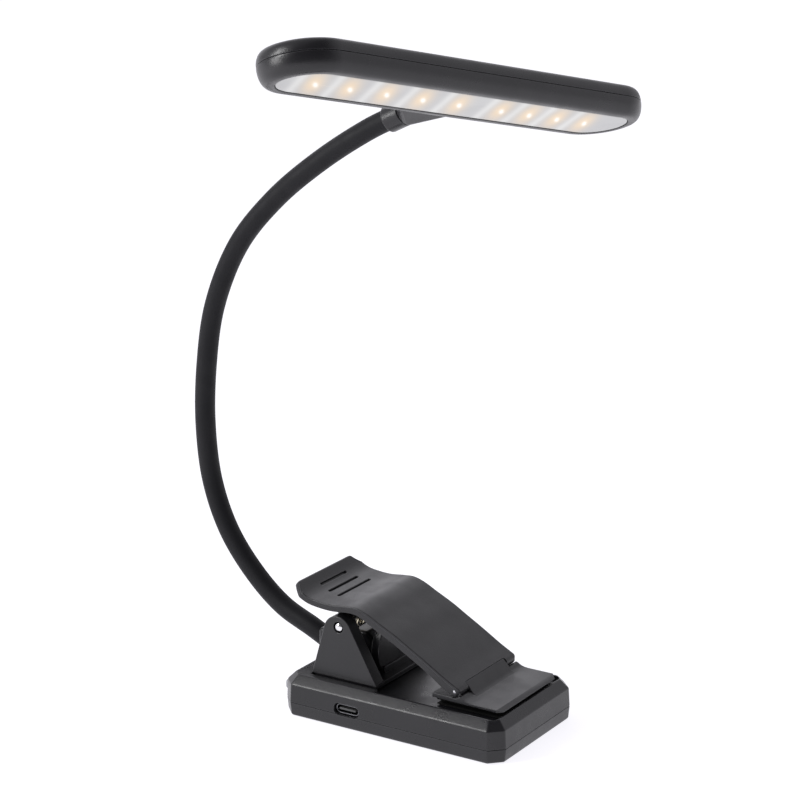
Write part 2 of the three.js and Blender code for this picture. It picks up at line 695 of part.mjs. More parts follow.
const toHead = (point) => point.clone().applyMatrix4(worldToHead);
const cableExit = new THREE.Vector3(-8, 0, 7.6).applyMatrix4(head.matrixWorld);
const cableInside = new THREE.Vector3(-13.2, 0, 7.2).applyMatrix4(head.matrixWorld);

// The lamp cable's whole route: board, bracket, neck, mount and head.
function cableRoute() {
  const points = [[-20.8, 0, 5.6], [-21, 0, 9], [-22, 0, 13], [-26, 0, 15.8], [-31, 0, 16.4]].map(vector);
  for (let i = 0; i <= 26; i += 1) points.push(neckCurve.getPointAt(i / 26));
  points.push(cableInside, cableExit);
  return new THREE.CatmullRomCurve3(points, false, 'centripetal');
}

// ---------- head pieces ----------
// The casing's outline past the lens: how far out it stands at a height above the lens face.
function casingRings(grow) {
  const steps = 4;
  const rings = [];
  for (let i = 0; i <= steps; i += 1) {
    const angle = (Math.PI / 2) * (i / steps);
    const offset = RIM + (HEAD_BULGE - RIM) * Math.sin(angle) ** CASING_FULLNESS;
    const z = HEAD_PARTING_Z * (1 - Math.cos(angle));
    rings.push([offset + grow, i === 0 ? z - grow : z]);
  }
  for (let i = 1; i <= steps; i += 1) {
    const angle = (Math.PI / 2) * (i / steps);
    const offset = HEAD_TOP_OFFSET + (HEAD_BULGE - HEAD_TOP_OFFSET) * Math.cos(angle) ** CASING_FULLNESS;
    const z = HEAD_PARTING_Z + (HEAD_THICKNESS - HEAD_PARTING_Z) * Math.sin(angle);
    rings.push([offset + grow, i === steps ? z + grow : z]);
  }
  return rings.map(([offset, z]) => lensRing(offset, z));
}

const casing = (grow) => loft(casingRings(grow));
const slab = (z0, z1) => box([-40, 40], [-100, 100], [z0, z1]);

// The hole for the lamp cable from a point on the neck's line into the casing.
function cableHoleFrom(...starts) {
  const route = new THREE.CatmullRomCurve3([...starts, cableInside, cableExit].map(toHead));
  return sweep(route, CABLE_HOLE_RADIUS, 0, 8, 4);
}

const cableHoleInHead = () => cableHoleFrom(neckCurve.getPointAt(1));

function headBottomShell() {
  const lower = common(casing(0), slab(-1, HEAD_PARTING_Z - GAP / 2));
  const window = loft([lensRing(GAP, -2), lensRing(GAP, 2.4)]);
  const cavity = loft([
    lensRing(-1, 2.2),
    lensRing(HEAD_BULGE - HEAD_WALL - 1, 4.6),
    lensRing(HEAD_BULGE - HEAD_WALL, 12),
  ]);
  return cut(lower, window, cavity, cableHoleInHead());
}

function headTopShell() {
  const upper = common(casing(0), slab(HEAD_PARTING_Z + GAP / 2, 20));
  const cavity = loft([
    lensRing(HEAD_BULGE - HEAD_WALL, 2),
    lensRing(HEAD_BULGE - HEAD_WALL, HEAD_PARTING_Z + 0.8),
    lensRing(HEAD_TOP_OFFSET - HEAD_WALL, HEAD_THICKNESS - HEAD_WALL),
  ]);
  return cut(upper, cavity, cableHoleInHead());
}

const LED_BOARD_Z = [4.9, 5.9];
const LED_Z = [3.8, LED_BOARD_Z[0] - GAP];
const LENS_Z = [0.15, 0.5, 2.0]; // face, end of the edge's chamfer, back

function addHead() {
  addTo(head, 'head_bottom_shell', headBottomShell(), casingPlastic);
  addTo(head, 'head_top_shell', headTopShell(), casingPlastic);
  const [faceZ, edgeZ, backZ] = LENS_Z;
  const lens = loft([lensRing(-0.3, faceZ), lensRing(0, edgeZ), lensRing(0, backZ)]);
  addTo(head, 'diffuser_lens', lens, lensPlastic);
  const board = loft(LED_BOARD_Z.map((z) => lensRing(0.6, z)));
  addTo(head, 'led_board', board, boardWhite);
  const half = LED_SIZE / 2;
  LED_POSITIONS.forEach((y, i) => {
    const led = box([LED_ROW_X - half, LED_ROW_X + half], [y - half, y + half], LED_Z);
    addTo(head, `led_${i + 1}`, led, ledPhosphor);
  });
}

// ---------- collar and mount between neck and head ----------
const COLLAR_RADIUS = 4.4;
const COLLAR_LENGTH = 6.4;
const MOUNT_HALF_WIDTH = 13; // the mount where it meets the casing, in the head's own frame
const MOUNT_Z = [2.2, 8.2];

function ringAlong(point, tangent, radius, count = 14) {
  const side = new THREE.Vector3(0, 1, 0);
  const up = new THREE.Vector3().crossVectors(tangent, side).normalize();
  const ring = [];
  for (let i = 0; i < count; i += 1) {
    const angle = (2 * Math.PI * i) / count;
    const across = point.clone().addScaledVector(side, radius * Math.cos(angle));
    ring.push(across.addScaledVector(up, radius * Math.sin(angle)));
  }
  return ring;
}

function addMount() {
  const tangent = neckCurve.getTangentAt(1);
  const collarStart = neckCurve.getPointAt(1).addScaledVector(tangent, -5);
  const beyond = (distance) => collarStart.clone().addScaledVector(tangent, distance);
  const ring = (distance, radius, count) => ringAlong(beyond(distance), tangent, radius, count);
  const collarBody = new ConvexGeometry([
    ...ring(0, COLLAR_RADIUS - 0.5, 16),
    ...ring(0.6, COLLAR_RADIUS, 16),
    ...ring(COLLAR_LENGTH, COLLAR_RADIUS, 16),
  ]);
  const bore = (end, radius, sides) => new ConvexGeometry([...ring(-3, radius, sides), ...ring(end, radius, sides)]);
  const sleeveBore = bore(5, NECK_RADIUS + GAP, 12);
  const cableBore = bore(12, CABLE_HOLE_RADIUS, 8);
  add('neck_collar', cut(collarBody, sleeveBore, cableBore), casingPlastic);

  const flare = [];
  for (const y of [-MOUNT_HALF_WIDTH, MOUNT_HALF_WIDTH]) {
    for (const z of MOUNT_Z) flare.push(new THREE.Vector3(-13.5, y, z));
  }
  const near = ring(COLLAR_LENGTH + GAP, COLLAR_RADIUS, 16).map(toHead);
  const wedge = new ConvexGeometry([...near, ...flare]);
  const mount = cut(wedge, casing(GAP), cableHoleFrom(beyond(0), beyond(COLLAR_LENGTH + GAP)));
  addTo(head, 'head_mount', mount, casingPlastic);
}

// ---------- assembly ----------
function addBase() {
  add('base_bottom_shell', baseBottomShell(), casingPlastic);
  add('base_top_shell', baseTopShell(), casingPlastic);
  SCREW_SPOTS.forEach(([x, y], i) => add(`base_screw_${i + 1}`, screw(x, y, 8.5), screwSteel));
  BRACKET_SCREW_SPOTS.forEach(([x, y], i) => add(`bracket_screw_${i + 1}`, screw(x, y, 14.2), screwSteel));

  let board = box(...CIRCUIT_BOARD);
  for (const [x, y] of [...SCREW_SPOTS, ...BRACKET_SCREW_SPOTS]) {
    board = cut(board, cylinderZ(POST_RADIUS + GAP, x, y, [3, 5], 14));
  }
  add('base_circuit_board', board, boardGreen);
  add('battery_cell', box(...BATTERY), cellFoil);
  BATTERY_LEAD_Y.forEach((y, i) => {
    const lead = new THREE.CatmullRomCurve3(BATTERY_LEAD.map(([x, z]) => new THREE.Vector3(x, y, z)));
    add(`battery_lead_${i + 1}`, sweep(lead, BATTERY_LEAD_RADIUS, 0, 8, 1.2), copperLead);
  });

  const shellY = [USB_MOUTH_Y, USB_MOUTH_Y + USB_DEPTH];
  const usbShell = cut(
    usbOutline(USB_HALF_WIDTH, USB_HALF_HEIGHT, shellY),
    usbOutline(USB_HALF_WIDTH - USB_SHEET, USB_HALF_HEIGHT - USB_SHEET, [shellY[0] - 1, shellY[1] - 0.8]),
  );
  add('usb_c_shell', usbShell, pinSteel);
  const tongueX = [USB_X - USB_TONGUE[0], USB_X + USB_TONGUE[0]];
  const tongueZ = [USB_Z - USB_TONGUE[1], USB_Z + USB_TONGUE[1]];
  add('usb_c_tongue', box(tongueX, [USB_MOUTH_Y + 0.7, shellY[1] - 1.1], tongueZ), padRubber);

  const cap = box([BUTTON_OUT_X, -40], BUTTON_Y, BUTTON_Z);
  const flangeY = [BUTTON_Y[0] - BUTTON_FLANGE, BUTTON_Y[1] + BUTTON_FLANGE];
  const flange = box([-40.1, BUTTON_INNER_X], flangeY, [BUTTON_Z[0], BUTTON_Z[1] + BUTTON_FLANGE]);
  add('power_button', join(cap, flange), buttonPlastic);
  const switchX = [BUTTON_INNER_X + BUTTON_TRAVEL + 0.2, -35.2];
  add('button_switch', box(switchX, [-16.7, -12.4], [CIRCUIT_BOARD[2][1] + GAP, 8.8]), padRubber);
}

function addClip() {
  const neckHole = neckPart(0, 0.2, NECK_RADIUS + 0.3, 0, 12);
  const cableHole = sweep(cableRoute(), CABLE_HOLE_RADIUS, 0, 8, 4);
  add('clip_bracket', clipBracket(neckHole, cableHole), clipPlastic);
  add('hinge_pin', hingePin(), pinSteel);
  add('torsion_spring', torsionSpring(), springSteel);
  add('clip_lever', clipLever(), clipPlastic);
  add('jaw_plate', jawPlate(), clipPlastic);
  const jawPinHalf = LEVER_HALF_WIDTH + 0.2;
  const jawPin = cylinderY(JAW_PIN_RADIUS, JAW_PIN_X, JAW_PIN_Z, [-jawPinHalf, jawPinHalf], 12);
  add('jaw_pin', jawPin, pinSteel);
  add('upper_jaw_pad', ribbedPad(UPPER_PAD), padRubber);
  add('lower_jaw_pad', ribbedPad(LOWER_PAD), padRubber);
}

addBase();
addClip();
addNeck();
add('lamp_cable', sweep(cableRoute(), CABLE_RADIUS, 0, 8, 6), padRubber);
addMount();
addHead();

export default lamp;
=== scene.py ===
import math
from bisect import bisect_right
from itertools import accumulate

import bpy
from mathutils import Matrix, Vector


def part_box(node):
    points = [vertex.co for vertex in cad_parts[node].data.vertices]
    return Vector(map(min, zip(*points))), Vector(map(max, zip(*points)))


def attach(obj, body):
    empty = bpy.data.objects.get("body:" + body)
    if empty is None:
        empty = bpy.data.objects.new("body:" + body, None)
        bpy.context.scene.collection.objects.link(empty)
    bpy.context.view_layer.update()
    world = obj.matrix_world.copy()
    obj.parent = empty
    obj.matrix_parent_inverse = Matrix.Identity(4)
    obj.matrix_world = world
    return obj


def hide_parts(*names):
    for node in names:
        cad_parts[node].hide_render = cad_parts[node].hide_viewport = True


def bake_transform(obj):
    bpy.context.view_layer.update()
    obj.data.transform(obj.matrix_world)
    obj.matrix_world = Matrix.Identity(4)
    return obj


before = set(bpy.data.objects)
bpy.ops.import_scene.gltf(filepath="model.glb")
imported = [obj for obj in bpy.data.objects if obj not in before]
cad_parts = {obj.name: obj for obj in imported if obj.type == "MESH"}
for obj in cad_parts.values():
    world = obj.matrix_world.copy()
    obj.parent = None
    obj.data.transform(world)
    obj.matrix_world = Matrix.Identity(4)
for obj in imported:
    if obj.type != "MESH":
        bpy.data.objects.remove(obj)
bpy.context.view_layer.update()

# A clip-on reading lamp around its CAD frame. Lengths are metres, and MM turns millimetres into them.
MM = 0.001


def mm(points):
    """Points whose coordinates are given in millimetres."""
    return [tuple(value * MM for value in point) for point in points]


def centre(node):
    low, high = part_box(node)
    return (low + high) / 2


# ----- the camera -----
CAMERA_PLACE = Vector((412.606, -658.004, 328.287)) * MM
CAMERA_AZIMUTH = math.radians(32.73)
CAMERA_PITCH = math.radians(15.76)
CAMERA_ROLL = math.radians(-0.326)
CAMERA_LENS = 112.5


def make_camera():
    data = bpy.data.cameras.new("camera")
    data.lens = CAMERA_LENS
    data.sensor_width = 36
    data.clip_start = 0.01
    camera = bpy.data.objects.new("camera", data)
    turn = Matrix.Rotation(CAMERA_AZIMUTH, 4, "Z") @ Matrix.Rotation(math.pi / 2 - CAMERA_PITCH, 4, "X")
    camera.matrix_world = Matrix.Translation(CAMERA_PLACE) @ turn @ Matrix.Rotation(CAMERA_ROLL, 4, "Z")
    bpy.context.scene.collection.objects.link(camera)
    bpy.context.scene.camera = camera


# ----- mesh helpers -----
def mesh_object(name, points, faces):
    mesh = bpy.data.meshes.new(name)
    mesh.from_pydata([tuple(p) for p in points], [], faces)
    mesh.update()
    thing = bpy.data.objects.new(name, mesh)
    bpy.context.scene.collection.objects.link(thing)
    return thing


def loft(name, rings, loop=False):
    """A closed skin through rings of as many points each; it is capped, or joins up with itself."""
    count = len(rings[0])
    spans = len(rings) if loop else len(rings) - 1
    faces = []
    for i in range(spans):
        a, b = i * count, (i + 1) % len(rings) * count
        faces += [(a + j, a + (j + 1) % count, b + (j + 1) % count, b + j) for j in range(count)]
    if not loop:
        faces.append(tuple(reversed(range(count))))
        faces.append(tuple(range((len(rings) - 1) * count, len(rings) * count)))
    thing = mesh_object(name, [p for ring in rings for p in ring], faces)
    if signed_volume(thing.data) < 0:
        thing.data.flip_normals()
    return thing


def signed_volume(mesh):
    mesh.calc_loop_triangles()
    triangles = [[mesh.vertices[i].co for i in triangle.vertices] for triangle in mesh.loop_triangles]
    return sum(a.dot(b.cross(c)) for a, b, c in triangles)


def freeze(thing):
    """The mesh that the modifiers make becomes the object's own."""
    graph = bpy.context.evaluated_depsgraph_get()
    mesh = bpy.data.meshes.new_from_object(thing.evaluated_get(graph))
    thing.modifiers.clear()
    thing.data = mesh


def combine(thing, others, operation):
    for other in others:
        modifier = thing.modifiers.new("boolean", "BOOLEAN")
        modifier.operation = operation
        modifier.solver = "MANIFOLD"
        modifier.object = other
        freeze(thing)
        bpy.data.objects.remove(other)
    return thing


def cut(thing, *others):
    return combine(thing, others, "DIFFERENCE")


def join(thing, *others):
    return combine(thing, others, "UNION")


def arc(x, y, radius, start, end, steps):
    """Points on a circle between two angles in degrees."""
    angles = [math.radians(start + (end - start) * i / steps) for i in range(steps + 1)]
    return [(x + radius * math.cos(a), y + radius * math.sin(a)) for a in angles]


def rounded(corners, radius, steps=4):
    """A closed outline whose corners are arcs, as large as its edges allow."""
    outline = []
    for i, corner in enumerate(corners):
        here = Vector(corner)
        before = Vector(corners[i - 1]) - here
        after = Vector(corners[(i + 1) % len(corners)]) - here
        half = before.angle(after) / 2
        reach = min(radius / math.tan(half), 0.45 * before.length, 0.45 * after.length)
        middle = here + (before.normalized() + after.normalized()).normalized() * reach / math.cos(half)
        first = here + before.normalized() * reach - middle
        last = here + after.normalized() * reach - middle
        turn = first.angle_signed(last)
        for k in range(steps + 1):
            a = -turn * k / steps
            cos, sin = math.cos(a), math.sin(a)
            spoke = Vector((first.x * cos - first.y * sin, first.x * sin + first.y * cos))
            outline.append(tuple(middle + spoke))
    return outline


def shrunk(outline, distance):
    """A closed anticlockwise outline moved inwards."""
    moved = []
    for i, point in enumerate(outline):
        here = Vector(point)
        before = (here - Vector(outline[i - 1])).normalized()
        after = (Vector(outline[(i + 1) % len(outline)]) - here).normalized()
        normal = Vector((-before.y - after.y, before.x + after.x)).normalized()
        stretch = max(0.5, normal.dot(Vector((-before.y, before.x))))
        moved.append(tuple(here + normal * distance / stretch))
    return moved


def anticlockwise(outline):
    area = sum(outline[i - 1][0] * p[1] - p[0] * outline[i - 1][1] for i, p in enumerate(outline))
    return outline if area > 0 else outline[::-1]


AXES = {
    "X": lambda u, v, w: (w, u, v),
    "Y": lambda u, v, w: (u, w, v),
    "Z": lambda u, v, w: (u, v, w),
}


def stack(name, axis, outline_at, levels):
    """A skin through outlines across an axis: outline_at(size) for each (size, place along the axis)."""
    place = AXES[axis]
    return loft(name, [[place(u, v, w) for u, v in outline_at(size)] for size, w in levels])


def prism(name, outline, axis, low, high, edge=0.0, steps=3):
    """An outline drawn across an axis and carried along it, with rounded rims at both ends."""
    outline = anticlockwise(outline)
    levels = [(0.0, 0.0)]
    if edge:
        angles = [math.pi / 2 * k / steps for k in range(steps + 1)]
        levels = [(edge * (1 - math.sin(a)), edge * (1 - math.cos(a))) for a in angles]
    sections = [(inset, low + along) for inset, along in levels]
    sections += [(inset, high - along) for inset, along in reversed(levels)]
    return stack(name, axis, lambda inset: shrunk(outline, inset), sections)


def circles(x, y, sides):
    """Gives the circle of any radius about a place, as an outline."""
    return lambda radius: arc(x, y, radius, 0, 360 * (1 - 1 / sides), sides - 1)


def rod(name, axis, place, radius, low, high, edge=0.0):
    return prism(name, circles(*place, 40)(radius), axis, low, high, edge)


def oblong(x, y, radius):
    """A rectangle from x[0] to x[1] and from y[0] to y[1] with rounded corners."""
    return rounded([(x[0], y[0]), (x[1], y[0]), (x[1], y[1]), (x[0], y[1])], radius)


def block(name, x, y, z, edge):
    return prism(name, oblong(x, y, 1.6 * edge), "Z", z[0], z[1], edge)


class Path:
    """A centripetal Catmull-Rom curve through points, followed by distance."""

    FINE = 24

    def __init__(self, points):
        points = [Vector(p) for p in points]
        line = [2 * points[0] - points[1], *points, 2 * points[-1] - points[-2]]
        self.points = [line[1]]
        for i in range(1, len(line) - 2):
            self.points += [self.between(line[i - 1 : i + 3], k / self.FINE) for k in range(1, self.FINE + 1)]
        steps = [(b - a).length for a, b in zip(self.points, self.points[1:])]
        self.reach = [0.0, *accumulate(steps)]
        self.length = self.reach[-1]

    @staticmethod
    def between(four, share):
        a, b, c, d = four
        knots = [0.0, *accumulate(max((q - p).length, 1e-9) ** 0.5 for p, q in zip(four, four[1:]))]
        t = knots[1] + (knots[2] - knots[1]) * share

        def mix(p, q, i, j):
            return (p * (knots[j] - t) + q * (t - knots[i])) / (knots[j] - knots[i])

        ab, bc, cd = mix(a, b, 0, 1), mix(b, c, 1, 2), mix(c, d, 2, 3)
        return mix(mix(ab, bc, 0, 2), mix(bc, cd, 1, 3), 1, 2)

    def at(self, distance):
        """The point at a distance; past either end, the end's tangent goes on."""
        if distance <= 0:
            return self.points[0] + (self.points[1] - self.points[0]).normalized() * distance
        if distance >= self.length:
            tail = (self.points[-1] - self.points[-2]).normalized()
            return self.points[-1] + tail * (distance - self.length)
        i = bisect_right(self.reach, distance) - 1
        share = (distance - self.reach[i]) / (self.reach[i + 1] - self.reach[i])
        return self.points[i].lerp(self.points[i + 1], share)

    def tangent(self, distance):
        step = 0.4 * MM
        return (self.at(distance + step) - self.at(distance - step)).normalized()


def ring_round(point, tangent, radius, sides, side=Vector((0, 1, 0))):
    side = (side - tangent * side.dot(tangent)).normalized()
    up = tangent.cross(side)
    angles = [2 * math.pi * k / sides for k in range(sides)]
    return [point + radius * (side * math.cos(a) + up * math.sin(a)) for a in angles]


def tube(name, path, start, end, radius_at, sides, step, bore=0.0):
    """A round rod or hose along a path; radius_at gives its radius at a distance."""
    count = max(2, round((end - start) / step))
    outer, inner = [], []
    side = Vector((0, 1, 0))
    for i in range(count + 1):
        spot = start + (end - start) * i / count
        tangent = path.tangent(spot)
        side = (side - tangent * side.dot(tangent)).normalized()
        outer.append(ring_round(path.at(spot), tangent, radius_at(spot), sides, side))
        inner.append(ring_round(path.at(spot), tangent, bore, sides, side))
    return loft(name, outer + inner[::-1], loop=True) if bore else loft(name, outer)


def side_path(points):
    """A path in the lamp's middle plane through (x, z) points in millimetres."""
    return Path([(x * MM, 0, z * MM) for x, z in points])


# ----- materials -----
class Shader:
    """A node material around one Principled shader."""

    def __init__(self, name, **values):
        self.material = bpy.data.materials.new(name)
        self.material.use_nodes = True
        self.nodes = self.material.node_tree.nodes
        self.links = self.material.node_tree.links
        self.main = self.nodes["Principled BSDF"]
        for socket, value in values.items():
            self.main.inputs[socket.replace("_", " ")].default_value = value
        self.place = self.add("ShaderNodeTexCoord").outputs["Object"]

    def add(self, kind, **settings):
        node = self.nodes.new(kind)
        for key, value in settings.items():
            if hasattr(node, key):
                setattr(node, key, value)
            else:
                node.inputs[key.replace("_", " ")].default_value = value
        return node

    def link(self, source, target):
        self.links.new(source, target)

    def noise(self, scale, detail=2.0, stretch=None):
        node = self.add("ShaderNodeTexNoise", Scale=scale, Detail=detail)
        place = self.place
        if stretch:
            mapping = self.add("ShaderNodeMapping", Scale=stretch)
            self.link(place, mapping.inputs["Vector"])
            place = mapping.outputs["Vector"]
        self.link(place, node.inputs["Vector"])
        return node.outputs["Fac"]

    def ramp(self, source, low, high, start=0.35, end=0.65):
        """Colours or greys from low to high as source goes from start to end."""
        node = self.add("ShaderNodeValToRGB")
        for element, position, value in zip(node.color_ramp.elements, (start, end), (low, high)):
            element.position = position
            element.color = (*value, 1) if hasattr(value, "__len__") else (value, value, value, 1)
        self.link(source, node.inputs["Fac"])
        return node.outputs["Color"]

    def feed(self, sockets, values):
        """Gives each socket its number, its colour or the link that it takes."""
        for socket, value in zip(sockets, values):
            if isinstance(value, bpy.types.NodeSocket):
                self.link(value, socket)
            else:
                socket.default_value = (*value, 1) if hasattr(value, "__len__") else value

    def mix(self, factor, low, high):
        node = self.add("ShaderNodeMix", data_type="RGBA")
        self.feed([node.inputs[i] for i in (0, 6, 7)], (factor, low, high))
        return node.outputs[2]

    def maths(self, operation, *values):
        node = self.add("ShaderNodeMath", operation=operation)
        self.feed(node.inputs, values)
        return node.outputs[0]

    def edges(self, radius):
        """1 along sharp edges and 0 on open surfaces."""
        bevel = self.add("ShaderNodeBevel", samples=4, Radius=radius)
        geometry = self.add("ShaderNodeNewGeometry")
        dot = self.add("ShaderNodeVectorMath", operation="DOT_PRODUCT")
        self.link(bevel.outputs[0], dot.inputs[0])
        self.link(geometry.outputs["Normal"], dot.inputs[1])
        return self.maths("MULTIPLY", self.maths("SUBTRACT", 1.0, dot.outputs["Value"]), 8.0)

    def bump(self, heights, distance, strength=1.0):
        node = self.add("ShaderNodeBump", Distance=distance, Strength=strength)
        self.link(heights, node.inputs["Height"])
        self.link(node.outputs["Normal"], self.main.inputs["Normal"])

    def colour(self, source):
        self.link(source, self.main.inputs["Base Color"])

    def roughness(self, source, low, high):
        self.link(self.ramp(source, low, high), self.main.inputs["Roughness"])


def moulded(name, dark, light, rough, depth=0.035, edge_highlight=0.25):
    """Moulded plastic with a fine spark-eroded grain, faint smears, and a painted highlight that makes its edges
    paler.
    """
    shader = Shader(name)
    body = shader.ramp(shader.noise(38, 4), dark, light, 0.3, 0.7)
    # Painted highlight: along edges the colour is mixed towards pale grey, standing in for the light that rounded
    # edges catch.
    highlight_mask = shader.maths("MINIMUM", shader.edges(0.35 * MM), edge_highlight)
    shader.colour(shader.mix(highlight_mask, body, (0.16, 0.16, 0.17)))
    shader.roughness(shader.noise(140, 3), *rough)
    shader.bump(shader.noise(2600, 2), depth * MM)
    return shader.material


def rubber(name, dark, light, rough, shine=0.5):
    """Soft rubber with a powdery grain."""
    shader = Shader(name, Specular_IOR_Level=shine)
    shader.colour(shader.ramp(shader.noise(70, 4), dark, light, 0.3, 0.7))
    shader.roughness(shader.noise(220, 3), *rough)
    shader.bump(shader.noise(1900, 3), 0.03 * MM)
    return shader.material


def metal(name, tone, rough, stretch=(1, 1, 1), scale=900, depth=0.004):
    """Bare metal with fine drawing or turning marks."""
    shader = Shader(name, Metallic=1.0)
    marks = shader.noise(scale, 3, stretch)
    shader.colour(shader.ramp(marks, [0.86 * c for c in tone], tone, 0.3, 0.7))
    shader.roughness(marks, *rough)
    shader.bump(marks, depth * MM)
    return shader.material


def circuit_board(name, mask, copper):
    """A board's solder mask with faint copper runs under it."""
    shader = Shader(name)
    cells = shader.add("ShaderNodeTexVoronoi", feature="DISTANCE_TO_EDGE", Scale=420)
    shader.link(shader.place, cells.inputs["Vector"])
    runs = shader.ramp(cells.outputs["Distance"], 1.0, 0.0, 0.05, 0.12)
    shader.colour(shader.mix(shader.maths("MULTIPLY", runs, 0.4), mask, copper))
    shader.roughness(shader.noise(300), 0.28, 0.42)
    shader.bump(runs, 0.03 * MM)
    return shader.material


GLOW_TONES = {"warm": (0.66, 0.49, 0.30), "pale": (0.60, 0.60, 0.59), "core": (0.85, 0.83, 0.78)}


def frosted_lens(name):
    """The lit diffuser: soft warm patches, a pale band beside each and a small white core over each LED."""
    shader = Shader(name, Roughness=0.42, Emission_Strength=1.0)
    lit = shader.ramp(shader.noise(60, 3), (0.33, 0.33, 0.34), (0.365, 0.365, 0.37), 0.3, 0.7)
    for attribute, tone in GLOW_TONES.items():
        share = shader.add("ShaderNodeAttribute", attribute_name=attribute).outputs["Fac"]
        lit = shader.mix(share, lit, tone)
    shader.link(lit, shader.main.inputs["Emission Color"])
    shader.colour(shader.ramp(shader.noise(90, 3), 0.11, 0.13))
    shader.bump(shader.noise(3000, 2), 0.006 * MM)
    return shader.material


def led_phosphor(name):
    shader = Shader(name, Roughness=0.3, Emission_Strength=2.0)
    tone = shader.ramp(shader.noise(1500), (0.9, 0.6, 0.28), (1.0, 0.78, 0.45))
    shader.colour(tone)
    shader.link(tone, shader.main.inputs["Emission Color"])
    shader.bump(shader.noise(2500), 0.01 * MM)
    return shader.material


MATERIALS = {
    "casing": moulded("casing_plastic", (0.008, 0.0078, 0.0095), (0.012, 0.0117, 0.014), (0.26, 0.36)),
    "head": moulded("head_plastic", (0.010, 0.0095, 0.0115), (0.014, 0.0135, 0.016), (0.27, 0.37)),
    "clip": moulded("clip_plastic", (0.009, 0.0088, 0.0105), (0.012, 0.0118, 0.014), (0.30, 0.40)),
    "pad": rubber("pad_rubber", 0.004, 0.007, (0.75, 0.9), shine=0.15),
    "neck": rubber("neck_rubber", (0.008, 0.008, 0.010), (0.012, 0.012, 0.014), (0.5, 0.6), shine=0.2),
    "cable": rubber("cable_jacket", 0.012, 0.02, (0.45, 0.6)),
    "pin": metal("polished_pin", (0.86, 0.86, 0.87), (0.12, 0.22)),
    "spring": metal("spring_wire", (0.80, 0.73, 0.56), (0.2, 0.35), (1, 6, 1)),
    "hose": metal("hose_steel", (0.55, 0.55, 0.55), (0.3, 0.45)),
    "screw": metal("screw_zinc", (0.45, 0.45, 0.47), (0.28, 0.42)),
    # The port's plated metal is given a dark tone as painted shade, so the opening reads dark in place of the
    # shade inside it.
    "port": metal("port_plating_and_painted_shade", (0.20, 0.20, 0.21), (0.2, 0.32), (1, 5, 1)),
    "tongue": moulded("port_tongue", 0.05, 0.07, (0.3, 0.4), 0.02, 0.1),
    "button": moulded("button_grey", (0.36, 0.36, 0.38), (0.42, 0.42, 0.44), (0.4, 0.5), 0.02, 0.0),
    "board": circuit_board("circuit_board", (0.01, 0.10, 0.035), (0.05, 0.22, 0.09)),
    "led_board": circuit_board("led_board_white", (0.72, 0.72, 0.70), (0.62, 0.58, 0.5)),
    "foil": metal("battery_foil", (0.55, 0.6, 0.66), (0.35, 0.5), (1, 1, 1), 160, 0.05),
    "lead": rubber("lead_insulation", (0.3, 0.015, 0.015), (0.38, 0.02, 0.02), (0.4, 0.5)),
    "lens": frosted_lens("frosted_lens"),
    "led": led_phosphor("led_phosphor"),
}
SMOOTH_BELOW = math.radians(32)


def finish_piece(thing, material, slot, body, *nodes, flat_faces=True):
    """Gives a piece its material, smooth shading, body and the nodes that it replaces; slot is not used."""
    thing.data.materials.clear()
    thing.data.materials.append(MATERIALS[material])
    thing.data.polygons.foreach_set("use_smooth", [True] * len(thing.data.polygons))
    thing.data.set_sharp_from_angle(angle=SMOOTH_BELOW)
    if flat_faces:
        modifier = thing.modifiers.new("normals", "WEIGHTED_NORMAL")
        modifier.keep_sharp = True
    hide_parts(*nodes)
    if body:
        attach(thing, body)
    return thing


# ----- base -----
TRAY_BOX, COVER_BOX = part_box("base_bottom_shell"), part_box("base_top_shell")
BASE_HALF = COVER_BOX[1].xy
TOP_Z = COVER_BOX[1].z
PARTING_Z = (TRAY_BOX[1].z + COVER_BOX[0].z) / 2
BASE_SEAM = mm([(0.02, 0.3), (0.05, 0.14), (0.16, 0.05)])
CORNER = 4.4 * MM
BEVEL = 2.8 * MM
DRAFT = 0.35 * MM
FOOT_INSET = 1.2 * MM
FOOT_Z = 0.8 * MM
WALL = 1.8 * MM
FLOOR_Z = 2.0 * MM
ROOF_Z = 11.0 * MM
RECESS_FLOOR_Z = 12.5 * MM
RECESS_X = (-7 * MM, 38.7 * MM)
RECESS_HALF = 21.7 * MM
LIP = 0.25 * MM
CABLE_WAY_X = (-24 * MM, -18 * MM)


def base_outline(inset):
    """The base seen from above: a rectangle with cut corners, all slightly rounded."""
    x, y = BASE_HALF[0] - inset, BASE_HALF[1] - inset
    c = CORNER - inset * (2 - math.sqrt(2))
    corners = [(x - c, -y), (x, c - y), (x, y - c), (x - c, y), (c - x, y), (-x, y - c), (-x, c - y), (c - x, -y)]
    return rounded(corners, 0.9 * MM)


def port_outline(grow):
    shell_low, shell_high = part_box("usb_c_shell")
    middle = (shell_low + shell_high) / 2
    radius = (shell_high.z - shell_low.z) / 2
    straight = (shell_high.x - shell_low.x) / 2 - radius
    right = arc(middle.x + straight, middle.z, radius + grow, -90, 90, 12)
    return right + arc(middle.x - straight, middle.z, radius + grow, 90, 270, 12)


def port_cutter():
    face = -BASE_HALF[1]
    funnel = mm([(0.8, -1), (0.62, 0.05), (0.42, 0.3), (0.35, 0.6), (0.35, 4)])
    return stack("port_cutter", "Y", port_outline, [(grow, face + depth) for grow, depth in funnel])


FLANGE = 0.9 * MM


def button_outline(grow):
    low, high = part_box("power_button")
    y = (low.y + FLANGE - grow, high.y - FLANGE + grow)
    return oblong(y, (low.z - grow, high.z - FLANGE + grow), FLANGE)


def recess_outline(grow):
    half = RECESS_HALF + grow
    return oblong((RECESS_X[0], RECESS_X[1] + grow), (-half, half), 1.6 * MM)


def pocket_outline(grow):
    half = EAR_OUTER + 0.4 * MM + grow
    return oblong((-33.9 * MM - grow, RECESS_X[0] + 0.5 * MM), (-half, half), 0.6 * MM)


